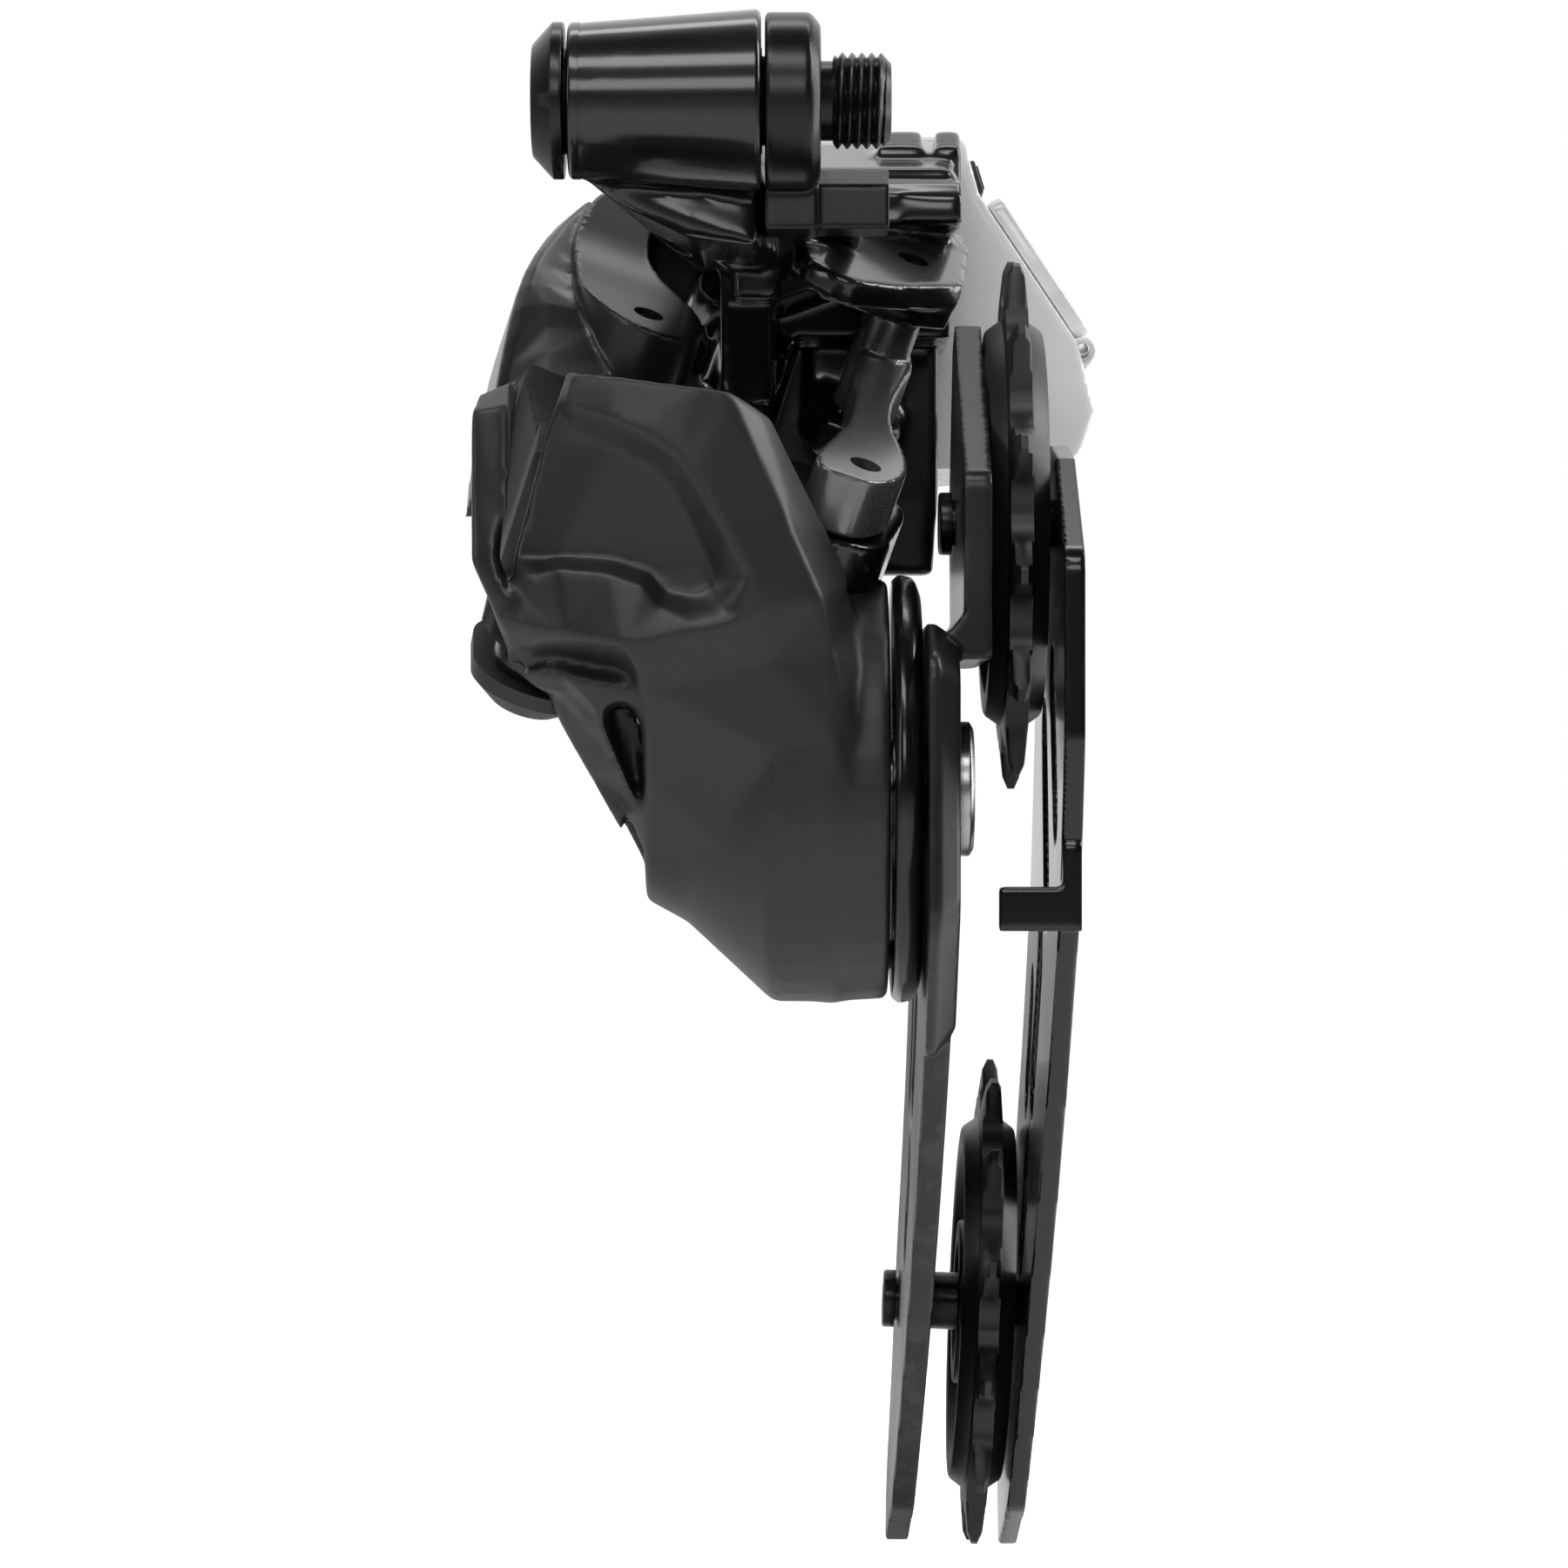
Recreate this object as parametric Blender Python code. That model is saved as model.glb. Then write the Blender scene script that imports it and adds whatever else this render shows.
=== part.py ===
"""Rear bicycle derailleur: electric, wireless, long cage, for twelve sprockets.

World frame: +X inboard towards the wheel, +Y rearward, +Z up. The origin is on the hanger bolt's
axis, on the plane where the stop plate meets the frame's hanger. Sizes are written in millimetres
and turned into metres in one place, make_object.
"""

import math

import bmesh
import bpy
from mathutils import Matrix, Vector

MM = 0.001
GAP = 0.3  # between pieces that touch
RUN = 0.05  # radial clearance of a shaft in its hole

# Hanger bolt: M10 x 1, along X
BOLT_PITCH = 1.0
BOLT_CREST_R = 4.95
BOLT_ROOT_R = 4.35
BOLT_SHANK_R = 5.5
BOLT_HEAD_R = 8.06
BOLT_TIP_X = 7.2
HEX_ACROSS_FLATS = 5.0
BARREL_X = (-25.8, -6.1)
BARREL_R = (7.9, 9.3)
STOP_RING_X = (-5.7, 0.0)
STOP_RING_R = 9.0

# Parallelogram: four pins along PIN_UP. PIN_OUT_TOP lies on the outer link's top face.
PIN_UP = Vector((0.314, -0.380, 0.870)).normalized()
PIN_OUT_TOP = Vector((-18.1, 18.0, -20.0))
UPPER_SPREAD = (24.4, 9.6)  # outer to inner upper pin, inboard and rearward
LINK_STEP = (2.9, -38.9)  # upper to lower pin, inboard and rearward
PIN_R = 1.6
WING_TOP = 12.7  # bracket wing's top face above the outer link's
INNER_TOP = 2.1  # inner link's top face above the outer link's
INNER_UNDER = -5.5  # underside of the inner link's upper boss
EAR_UNDER = -6.9  # underside of the outer link's crescent ear
LINK_UNDER = -24.0  # underside of the outer link
EAR_BEND = 8.0  # the ear climbs behind this line
EAR_CLIMB = 0.45

# Cage pivot and cage, seen along X as (rearward, up)
P_CENTRE = (0.0, -70.5)
DRUM_R = 21.8
DRUM_X = (-17.8, 6.8)
P_AXLE_R = 5.0
GUIDE_CENTRE = (13.5, -42.6)
TENSION_CENTRE = (62.0, -129.8)
GUIDE_X = 20.25
TENSION_X = 18.95
PULLEY_TEETH = 13
CHAIN_PITCH = 12.7
PULLEY_WIDTH = 5.9
PULLEY_BORE_R = 6.95
SLEEVE_R = 3.3
BOLT_M5_R = 2.5
OUTER_PLATE_X = (14.2, 17.0)
OUTER_BOSS_X = (10.4, 13.6)
INNER_PLATE_X = (23.8, 25.9)
CAGE_BOW = 3.66e-4  # outboard shift per square millimetre below the cage pivot

# Battery housing behind the bracket
BOX_Y = (52.0, 84.0)
DOOR_HINGE = (30.2, -20.6)  # inboard, up


def clear_scene():
    for item in list(bpy.data.objects):
        bpy.data.objects.remove(item, do_unlink=True)


def material(name, colour, roughness, metallic):
    made = bpy.data.materials.new(name)
    made.use_nodes = True
    shader = made.node_tree.nodes["Principled BSDF"]
    shader.inputs["Base Color"].default_value = (*colour, 1.0)
    shader.inputs["Roughness"].default_value = roughness
    shader.inputs["Metallic"].default_value = metallic
    return made


def make_object(name, bm, finish, smooth=True):
    """One node from a bmesh in millimetres."""
    bmesh.ops.recalc_face_normals(bm, faces=bm.faces)
    bmesh.ops.scale(bm, vec=(MM, MM, MM), verts=bm.verts)
    mesh = bpy.data.meshes.new(name)
    bm.to_mesh(mesh)
    bm.free()
    if finish:
        mesh.materials.append(finish.copy())
        mesh.materials[0].name = name
    if smooth:
        mesh.shade_smooth()
        mesh.set_sharp_from_angle(angle=math.radians(32))
    made = bpy.data.objects.new(name, mesh)
    bpy.context.scene.collection.objects.link(made)
    return made


def placed(origin, axis, towards=(0.0, 1.0, 0.0)):
    """Matrix whose local Z is the axis and whose local X leans to the given direction."""
    up = Vector(axis).normalized()
    side = Vector(towards) - up * up.dot(Vector(towards))
    side.normalize()
    return Matrix.Translation(Vector(origin)) @ Matrix((side, up.cross(side), up)).transposed().to_4x4()


def along_x(y, z, x=0.0):
    """Local Z along world X, local X rearward, local Y up."""
    return placed((x, y, z), (1.0, 0.0, 0.0), (0.0, 1.0, 0.0))


def link_point(inboard, rearward, height):
    """A point in the links' frame: along their plane from the outer upper pin, then up the pins."""
    side = Vector((PIN_UP.z, 0.0, -PIN_UP.x)).normalized()
    back = PIN_UP.cross(side)
    return PIN_OUT_TOP + side * inboard + back * rearward + PIN_UP * height


def link_frame(inboard=0.0, rearward=0.0, height=0.0):
    side = Vector((PIN_UP.z, 0.0, -PIN_UP.x)).normalized()
    return placed(link_point(inboard, rearward, height), PIN_UP, side)


def turned(bm, profile, where, segments=32, closed=False):
    """Turns (along, radius) points about local Z. A closed profile makes a ring with a bore."""
    rings = []
    for along, radius in profile:
        if radius == 0.0:
            rings.append([bm.verts.new(where @ Vector((0.0, 0.0, along)))])
            continue
        turn = [2 * math.pi * i / segments for i in range(segments)]
        points = [Vector((radius * math.cos(t), radius * math.sin(t), along)) for t in turn]
        rings.append([bm.verts.new(where @ point) for point in points])
    pairs = list(zip(rings, rings[1:]))
    if closed:
        pairs.append((rings[-1], rings[0]))
    for low, high in pairs:
        for i in range(segments):
            j = (i + 1) % segments
            corners = [low[i % len(low)], low[j % len(low)], high[j % len(high)], high[i % len(high)]]
            bm.faces.new(list(dict.fromkeys(corners)))
    if not closed:
        for ring in (rings[0], rings[-1]):
            if len(ring) > 1:
                bm.faces.new(ring)


def rod(bm, where, low, high, radius, segments=24, chamfer=0.0):
    """A plain round bar along local Z, with chamfered ends where asked."""
    ends = [(low, radius - chamfer), (low + chamfer, radius), (high - chamfer, radius), (high, radius - chamfer)]
    profile = ends if chamfer else [(low, radius), (high, radius)]
    turned(bm, profile, where, segments)


def tube(bm, where, low, high, inner, outer, segments=24):
    turned(bm, [(low, inner), (low, outer), (high, outer), (high, inner)], where, segments, closed=True)


def prism(bm, outline, where, low, high):
    """Extrudes an outline in local XY from low to high along local Z."""
    bottom = [bm.verts.new(where @ Vector((x, y, low))) for x, y in outline]
    top = [bm.verts.new(where @ Vector((x, y, high))) for x, y in outline]
    bm.faces.new(bottom)
    bm.faces.new(top)
    count = len(outline)
    for i in range(count):
        j = (i + 1) % count
        bm.faces.new([bottom[i], bottom[j], top[j], top[i]])


def hull(bm, points):
    """Adds the convex hull of the points."""
    verts = [bm.verts.new(point) for point in points]
    made = bmesh.ops.convex_hull(bm, input=verts)
    spare = [v for v in made["geom_interior"] if isinstance(v, bmesh.types.BMVert)]
    bmesh.ops.delete(bm, geom=spare, context="VERTS")


def block(low, high):
    """The eight corners of a box."""
    return [Vector((x, y, z)) for x in (low[0], high[0]) for y in (low[1], high[1]) for z in (low[2], high[2])]


def round_corners(corners, steps=4):
    """An outline from (x, y, radius) corners, each rounded by an arc."""
    outline = []
    count = len(corners)
    for i, (x, y, radius) in enumerate(corners):
        here = Vector((x, y))
        if radius <= 0.0:
            outline.append((x, y))
            continue
        before = (Vector(corners[i - 1][:2]) - here).normalized()
        after = (Vector(corners[(i + 1) % count][:2]) - here).normalized()
        half = 0.5 * before.angle(after)
        centre = here + (before + after).normalized() * radius / math.sin(half)
        start = here + before * radius / math.tan(half) - centre
        sweep = start.angle_signed(here + after * radius / math.tan(half) - centre)
        for k in range(steps + 1):
            turn = -sweep * k / steps
            arm = Vector((start.x * math.cos(turn) - start.y * math.sin(turn),
                          start.x * math.sin(turn) + start.y * math.cos(turn)))
            outline.append(tuple(centre + arm))
    return outline


def circle(x, y, radius, segments=16):
    turns = [2 * math.pi * i / segments for i in range(segments)]
    return [(x + radius * math.cos(t), y + radius * math.sin(t)) for t in turns]


def slot_outline(start, end, radius, steps=6):
    """A long hole with round ends, between two centres."""
    run = Vector(end) - Vector(start)
    heading = math.atan2(run.y, run.x)
    outline = []
    for centre, first in ((end, heading - math.pi / 2), (start, heading + math.pi / 2)):
        for k in range(steps + 1):
            turn = first + math.pi * k / steps
            outline.append((centre[0] + radius * math.cos(turn), centre[1] + radius * math.sin(turn)))
    return outline


def boolean(target, bm, operation, name):
    """Leaves a Boolean on the target, with the bmesh as its hidden other half."""
    tool = make_object(f"{target.name}_{name}", bm, None, smooth=False)
    tool.hide_render = True
    tool.display_type = "WIRE"
    step = target.modifiers.new(name, "BOOLEAN")
    step.operation = operation
    step.solver = "EXACT"
    step.object = tool
    return tool


def join(target, name, build):
    bm = bmesh.new()
    build(bm)
    boolean(target, bm, "UNION", name)


def cut(target, name, build):
    bm = bmesh.new()
    build(bm)
    boolean(target, bm, "DIFFERENCE", name)


def solid(name, finish, build, smooth=True):
    bm = bmesh.new()
    build(bm)
    return make_object(name, bm, finish, smooth)


def soften(target, width, segments=1, angle=40):
    step = target.modifiers.new("edges", "BEVEL")
    step.width = width * MM
    step.segments = segments
    step.limit_method = "ANGLE"
    step.angle_limit = math.radians(angle)


def bowed(point):
    """The cage below its pivot leans outboard along a parabola."""
    below = max(0.0, P_CENTRE[1] - point.z)
    return Vector((point.x - CAGE_BOW * below * below, point.y, point.z))


def bow(bm, spacing=9.0, lowest=-158.0):
    """Cuts a plate across at even heights and shifts it onto the cage's curve."""
    height = P_CENTRE[1] - spacing
    while height > lowest:
        geometry = bm.verts[:] + bm.edges[:] + bm.faces[:]
        bmesh.ops.bisect_plane(bm, geom=geometry, dist=1e-4, plane_co=(0, 0, height), plane_no=(0, 0, 1))
        height -= spacing
    for vert in bm.verts:
        vert.co = bowed(vert.co)


# ---------------------------------------------------------------- hanger mount


def bolt_profile():
    """Head, shank and ridged thread, from outboard to inboard."""
    profile = [(-29.5, 5.6), (-27.3, BOLT_HEAD_R), (-26.1, BOLT_HEAD_R), (-26.1, BOLT_SHANK_R),
               (-6.0, BOLT_SHANK_R), (-6.0, 4.6), (0.0, 4.6), (0.0, 4.07), (1.2, 4.07)]
    ridge = 1.2 + BOLT_PITCH / 2
    while ridge < 6.5:
        profile += [(ridge, BOLT_CREST_R), (ridge + BOLT_PITCH / 2, BOLT_ROOT_R)]
        ridge += BOLT_PITCH
    return [(-29.5, 0.0)] + profile + [(BOLT_TIP_X - 0.4, 3.9), (BOLT_TIP_X, 3.5), (BOLT_TIP_X, 0.0)]


def build_hanger_mount(finish):
    bolt = solid("b_bolt", finish["black_steel"], lambda bm: turned(bm, bolt_profile(), along_x(0, 0), 20))
    socket_r = HEX_ACROSS_FLATS / math.sqrt(3)
    cut(bolt, "hex_socket", lambda bm: rod(bm, along_x(0, 0), -30.5, -23.5, socket_r, segments=6))

    def ring(bm):
        low, high = STOP_RING_X
        turned(bm, [(low, 4.65), (low, 8.6), (low + 0.5, STOP_RING_R), (high - 1.2, STOP_RING_R - 0.1),
                    (high, 7.6), (high, 5.3), (high - 0.6, 4.65)], along_x(0, 0), 36, closed=True)

    def tail(bm):
        hull(bm, block((-5.7, 1.5, -12.9), (-0.4, 10.5, -6.0)) + block((-5.7, 5.0, -6.0), (-0.4, 8.0, -3.0)))

    def lug(bm):
        hull(bm, block((-3.0, 3.0, -12.9), (7.2, 11.0, -8.2)) + block((-3.0, 5.2, -8.2), (7.2, 11.0, -6.1)))

    plate = solid("stop_plate", finish["black_steel"], ring)
    join(plate, "tail", tail)
    join(plate, "lug", lug)
    return [bolt, plate]


# -------------------------------------------------------------------- bracket


def bracket_barrel(bm):
    low, high = BARREL_X
    turned(bm, [(low, 6.6), (low, BARREL_R[0] - 0.4), (low + 0.4, BARREL_R[0]), (high - 0.4, BARREL_R[1]),
                (high, BARREL_R[1] - 0.4), (high, 6.6)], along_x(0, 0), 36, closed=True)


def bracket_body(bm):
    """The casting's core, from under the barrel back to the rear wall."""
    front = [Vector((-25.3, 1.0, -7.0)), Vector((-20.5, 1.5, -10.5)), Vector((-14.0, 2.0, -13.5)),
             Vector((-6.6, 2.0, -14.5)), Vector((-6.6, 5.0, 6.0)), Vector((-24.0, 5.0, 4.0))]
    hull(bm, front + block((-10.5, 24.5, -16.0), (-5.0, 34.0, -3.0)) + [Vector((-19.0, 6.0, -10.0))])


def bracket_core(bm):
    """Drops from the body to the outer link's boss."""
    hull(bm, block((-10.5, 16.0, -16.5), (-5.0, 33.0, -14.0)) + block((-10.5, 23.0, -29.0), (-5.0, 34.0, -26.0)))


def bracket_rear_wall(bm):
    hull(bm, block((-12.5, 31.0, -21.5), (14.5, 37.0, -3.0)) + block((-8.0, 44.0, -21.5), (14.5, 51.7, 1.5)))


def bracket_rib(bm):
    """Carries the lower ear below the rear wall."""
    hull(bm, block((-1.0, 34.6, -31.5), (8.5, 41.0, -20.0)))


def bracket_wing(bm):
    """The inboard ear over the inner link, its top face square to the pins."""
    u, v = UPPER_SPREAD
    outline = [(u - 7.8, v - 14.8), (u - 4.5, v - 14.6), (u + 1.9, v - 6.3), (u + 5.9, v - 2.8),
               (u + 5.2, v + 6.0), (u + 4.6, v + 16.0), (u - 10.0, v + 16.0), (u - 8.4, v - 3.0)]
    prism(bm, outline, link_frame(), WING_TOP - 5.6, WING_TOP)


def bracket_ridges(bm):
    """Two stiffening fingers that run inboard over the wing."""
    hull(bm, block((4.6, 27.0, -9.5), (15.6, 34.0, -6.6)) + block((4.6, 29.0, -6.6), (15.6, 34.0, -4.6)))


def bracket_top_plate(bm):
    hull(bm, block((6.5, 36.0, -6.0), (15.8, 51.6, 0.0)) + block((7.5, 40.0, 0.0), (15.8, 51.6, 2.4)))


def bracket_front_wall(bm):
    """Joins the core to the wing, behind the stop plate."""
    hull(bm, block((-9.0, 13.5, -19.0), (-5.2, 30.0, -4.0)) + block((0.0, 17.5, -16.0), (3.4, 32.0, -12.5)))


def bracket_lower_ear(bm):
    u, v = UPPER_SPREAD
    outline = [(u - 4.5, v + 10.5), (u - 5.6, v), (u - 3.0, v - 5.0), (u + 3.0, v - 5.0), (u + 5.2, v),
               (u + 4.0, v + 10.5)]
    prism(bm, outline, link_frame(), INNER_UNDER - 4.8, INNER_UNDER - GAP)


def bracket_outer_boss(bm):
    """Between the outer link's two ears, round the outer upper pin."""
    outline = circle(0.0, 0.0, 4.9, 20)[9:] + [(4.9, 0.5), (15.0, 4.0), (13.0, 12.0), (1.0, 7.0)]
    prism(bm, outline, link_frame(), LINK_UNDER + 6.3, EAR_UNDER - GAP)


def build_bracket(finish):
    made = solid("bracket", finish["flake_black"], bracket_barrel)
    for name, build in (("body", bracket_body), ("core", bracket_core), ("rear_wall", bracket_rear_wall),
                        ("rib", bracket_rib), ("wing", bracket_wing), ("ridges", bracket_ridges),
                        ("top_plate", bracket_top_plate), ("front_wall", bracket_front_wall),
                        ("lower_ear", bracket_lower_ear), ("outer_boss", bracket_outer_boss)):
        join(made, name, build)
    cut(made, "bore", lambda bm: rod(bm, along_x(0, 0), -40.0, 0.0, 6.6, 32))
    for name, at in (("outer_hole", (0.0, 0.0)), ("inner_hole", UPPER_SPREAD)):
        cut(made, name, lambda bm, at=at: rod(bm, link_frame(*at), -30.0, 20.0, PIN_R + GAP, 16))
    cut(made, "top_slot", lambda bm: hull(bm, block((11.6, 33.0, -0.6), (12.9, 53.0, 5.0))))
    cut(made, "adjuster_hole", lambda bm: rod(bm, adjuster_frame(), -1.0, 20.0, 1.8, 14))
    return made


def adjuster_frame():
    """The stop screw's axis: it points forward at the stop plate's lug."""
    return placed((3.2, 11.8, -10.3), (0.0, 1.0, -0.12), (1.0, 0.0, 0.0))


def build_bracket_fittings(finish):
    bolt_axis = along_x(0, 0)
    made = [
        solid("b_bush_outer", finish["polymer"], lambda bm: tube(
            bm, bolt_axis, -25.6, -18.5, BOLT_SHANK_R + RUN, 6.3, 28)),
        solid("b_bush_inner", finish["polymer"], lambda bm: tube(
            bm, bolt_axis, -13.5, -6.3, BOLT_SHANK_R + RUN, 6.3, 28)),
    ]
    for name, at, low, high in (("upper_pin_outer", (0.0, 0.0), LINK_UNDER + 0.3, -0.6),
                                ("upper_pin_inner", UPPER_SPREAD, INNER_UNDER - 4.4, WING_TOP - 0.8)):
        made.append(solid(name, finish["pin_steel"], lambda bm, at=at, low=low, high=high: rod(
            bm, link_frame(*at), low, high, PIN_R, 18, 0.25)))
    screw = solid("stop_adjuster", finish["black_steel"], lambda bm: rod(
        bm, adjuster_frame(), 0.0, 12.0, 1.5, 16, 0.3))
    cut(screw, "hex_socket", lambda bm: rod(bm, adjuster_frame(), 10.0, 13.0, 0.9, 6))
    made.append(screw)
    return made


# ---------------------------------------------------------------------- links


def raised(bm):
    """Lifts the crescent ear's far end, which climbs towards the barrel."""
    frame = link_frame()
    back = frame.inverted()
    for vert in bm.verts:
        local = back @ vert.co
        local.z += EAR_CLIMB * max(0.0, local.y - EAR_BEND)
        vert.co = frame @ local


def outer_link_ear(bm, low, high):
    """A crescent that curls from the upper pin round its outboard side."""
    outline = [(6.3, 1.7), (5.8, -5.2), (1.7, -7.5), (-3.4, -6.1), (-7.7, 0.6), (-9.6, 7.0), (-10.4, 12.0),
               (-11.0, 17.0), (-10.2, 19.6), (-6.6, 19.2), (-4.6, 14.0), (-1.6, 11.0), (1.2, 8.4), (3.7, 4.8)]
    prism(bm, outline, link_frame(), low, high)
    raised(bm)


def outer_link_wall(bm):
    """The outboard wall, down to the boss round the lower pin."""
    u, v = LINK_STEP
    outline = [(1.7, -7.5), (-3.4, -6.1), (-6.3, 0.6), (-6.6, 8.0), (-9.4, 12.0), (-10.2, 4.0),
               (-9.6, -10.0), (u - 8.4, v + 14.0), (u - 7.4, v + 6.0), (u - 6.6, v - 1.0), (u - 3.4, v - 5.2),
               (u + 2.2, v - 5.4), (u + 5.6, v - 2.0), (u + 5.2, v + 5.0), (1.5, -16.0)]
    prism(bm, outline, link_frame(), LINK_UNDER, EAR_UNDER + 0.6)


def build_outer_link(finish):
    made = solid("outer_link", finish["flake_black"], lambda bm: outer_link_ear(bm, EAR_UNDER, 0.0))
    join(made, "lower_ear", lambda bm: prism(
        bm, circle(0.0, 0.0, 6.2, 18), link_frame(), LINK_UNDER, LINK_UNDER + 6.0))
    join(made, "lower_web", lambda bm: prism(
        bm, [(-8.0, 4.0), (-8.0, -8.0), (1.0, -8.5), (5.9, -1.0), (0.0, 6.0)], link_frame(), LINK_UNDER + 0.1,
        LINK_UNDER + 5.9))
    join(made, "wall", outer_link_wall)
    join(made, "end_boss", lambda bm: prism(
        bm, circle(*LINK_STEP, 6.3, 20), link_frame(), LINK_UNDER, EAR_UNDER - 2.0))
    cut(made, "upper_hole", lambda bm: rod(bm, link_frame(), -30.0, 5.0, PIN_R + RUN, 18))
    cut(made, "lower_hole", lambda bm: rod(bm, link_frame(*LINK_STEP), -40.0, 5.0, PIN_R + RUN, 18))
    return made


def build_inner_link(finish):
    u, v = UPPER_SPREAD
    p, q = u + LINK_STEP[0], v + LINK_STEP[1]
    outline = [(u + 4.4, v + 1.0), (u + 2.6, v + 4.6), (u - 2.6, v + 4.6), (u - 4.8, v + 0.5),
               (u - 3.6, v - 8.0), (u - 1.8, v - 18.0), (u - 1.6, v - 28.0), (p - 4.4, q - 1.0),
               (p - 4.4, q - 5.4), (p - 2.0, q - 7.2), (p + 1.0, q - 6.8), (p + 4.0, q - 2.6),
               (p + 4.4, q + 1.4), (p + 2.4, q + 8.0), (u + 2.0, v - 20.0), (u + 0.8, v - 16.5), (u + 1.4, v - 10.0)]
    made = solid("inner_link", finish["gloss_black"], lambda bm: prism(
        bm, outline, link_frame(), INNER_TOP - 6.6, INNER_TOP))
    soften(made, 0.6, 1, 30)
    join(made, "upper_boss", lambda bm: prism(
        bm, circle(u, v, 4.9, 18), link_frame(), INNER_UNDER, WING_TOP - 5.6 - GAP))
    cut(made, "upper_hole", lambda bm: rod(bm, link_frame(u, v), -30.0, 20.0, PIN_R + RUN, 18))
    cut(made, "lower_hole", lambda bm: rod(bm, link_frame(p, q), -40.0, 5.0, PIN_R + RUN, 18))
    return made


# -------------------------------------------------------------------- knuckle


def drum(bm, shrink=0.0, low=None, high=None, segments=40):
    """The round housing on the cage pivot: full size inboard, coned outboard."""
    low = DRUM_X[0] if low is None else low
    high = DRUM_X[1] if high is None else high
    y, z = P_CENTRE
    turned(bm, [(low, 0.0), (low, 11.3 - shrink), (-13.6, 13.6 - shrink), (-4.6, DRUM_R - shrink),
                (1.2, DRUM_R - shrink), (high, DRUM_R - 0.35 - shrink), (high, 0.0)], along_x(y, z), segments)


def knuckle_arm(bm, grow=0.0):
    """Rises from the drum to the two lower pins, inboard of the outer link."""
    u, v = LINK_STEP
    p = u + UPPER_SPREAD[0]
    lower = block((-13.0, -14.0, -66.0), (3.0, 9.0, -58.0))
    places = ((u + 9.4, v - 2.0), (u + 9.4, v + 8.0), (p, v + 5.0), (p - 4.0, v + 13.0))
    ends = [link_point(a, b, c) for a, b in places for c in (-7.2, -20.0)]
    corners = lower + ends
    middle = sum(corners, Vector()) / len(corners)
    hull(bm, [point + (point - middle).normalized() * grow for point in corners])


def knuckle_ear(bm, low, high, radius=4.7):
    """Reaches outboard from the arm, over or under the outer link's lower end."""
    u, v = LINK_STEP
    outline = circle(u, v, radius, 20)[5:16] + [(u + 12.0, v - radius + 0.7), (u + 12.0, v + radius)]
    prism(bm, outline, link_frame(), low, high)


def knuckle_ear_web(bm):
    """Ties the two ears together inboard of the outer link's boss."""
    u, v = LINK_STEP
    heights = (LINK_UNDER - 2.9, EAR_UNDER + 4.4)
    hull(bm, [link_point(u + a, v + b, c) for a in (8.6, 13.0) for b in (-3.6, 4.4) for c in heights])


def inner_pin_boss(bm, radius=5.2, low=-18.0, high=INNER_TOP - 6.6 - GAP):
    p, q = UPPER_SPREAD[0] + LINK_STEP[0], UPPER_SPREAD[1] + LINK_STEP[1]
    prism(bm, circle(p, q, radius, 18), link_frame(), low, high)


def build_knuckle(finish):
    y, z = P_CENTRE
    made = solid("p_knuckle", finish["flake_black"], lambda bm: drum(bm, 2.4, -15.6, 6.2, 32))
    join(made, "arm", knuckle_arm)
    join(made, "upper_ear", lambda bm: knuckle_ear(bm, EAR_UNDER + 0.9, EAR_UNDER + 4.6))
    join(made, "lower_ear", lambda bm: knuckle_ear(bm, LINK_UNDER - 3.0, LINK_UNDER - GAP))
    join(made, "ear_web", knuckle_ear_web)
    join(made, "inner_boss", inner_pin_boss)
    cut(made, "spring_bore", lambda bm: rod(bm, along_x(y, z), -9.0, 8.0, 14.5, 32))
    cut(made, "axle_bore", lambda bm: rod(bm, along_x(y, z), -17.0, 8.0, 6.6, 24))
    for name, at in (("outer_hole", LINK_STEP), ("inner_hole", (UPPER_SPREAD[0] + LINK_STEP[0],
                                                              UPPER_SPREAD[1] + LINK_STEP[1]))):
        cut(made, name, lambda bm, at=at: rod(bm, link_frame(*at), -40.0, 10.0, PIN_R + GAP, 16))
    return made


def cover_shoulder(bm):
    """The wedge over the parallelogram pins, seen first from the front."""
    hull(bm, [Vector(p) for p in (
        (-24.5, -24.0, -29.7), (-18.9, -26.5, -31.6), (-8.8, -26.5, -31.8), (-5.1, -21.0, -34.2),
        (2.6, -15.5, -49.3), (0.2, -23.5, -52.2), (1.1, -22.4, -58.1), (-5.0, -23.0, -57.0),
        (-22.0, -23.0, -57.0), (-29.1, -18.0, -49.4), (-31.4, -16.0, -54.5), (-29.1, -14.0, -58.4),
        (-24.0, -12.0, -31.0), (-5.2, -11.0, -34.4), (2.6, -4.0, -49.5), (-29.0, -8.0, -52.0),
        (-4.6, -16.0, -85.0), (-14.0, -14.0, -70.0))])


def cover_flank(bm):
    """The lower outboard facet between the shoulder and the drum."""
    hull(bm, [Vector(p) for p in (
        (-30.5, -15.0, -55.5), (-29.1, -14.0, -58.6), (-26.4, -11.5, -62.3), (-25.7, -11.0, -64.6),
        (-20.0, -10.0, -70.4), (-17.6, -9.0, -75.7), (-17.2, -8.0, -80.0), (-12.0, -17.0, -60.0),
        (-12.0, -15.0, -78.0), (-28.0, -5.0, -58.6), (-24.5, -3.0, -64.6), (-17.6, 2.0, -76.0),
        (-10.0, 4.0, -60.0), (-10.0, -20.0, -62.0))])


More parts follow.
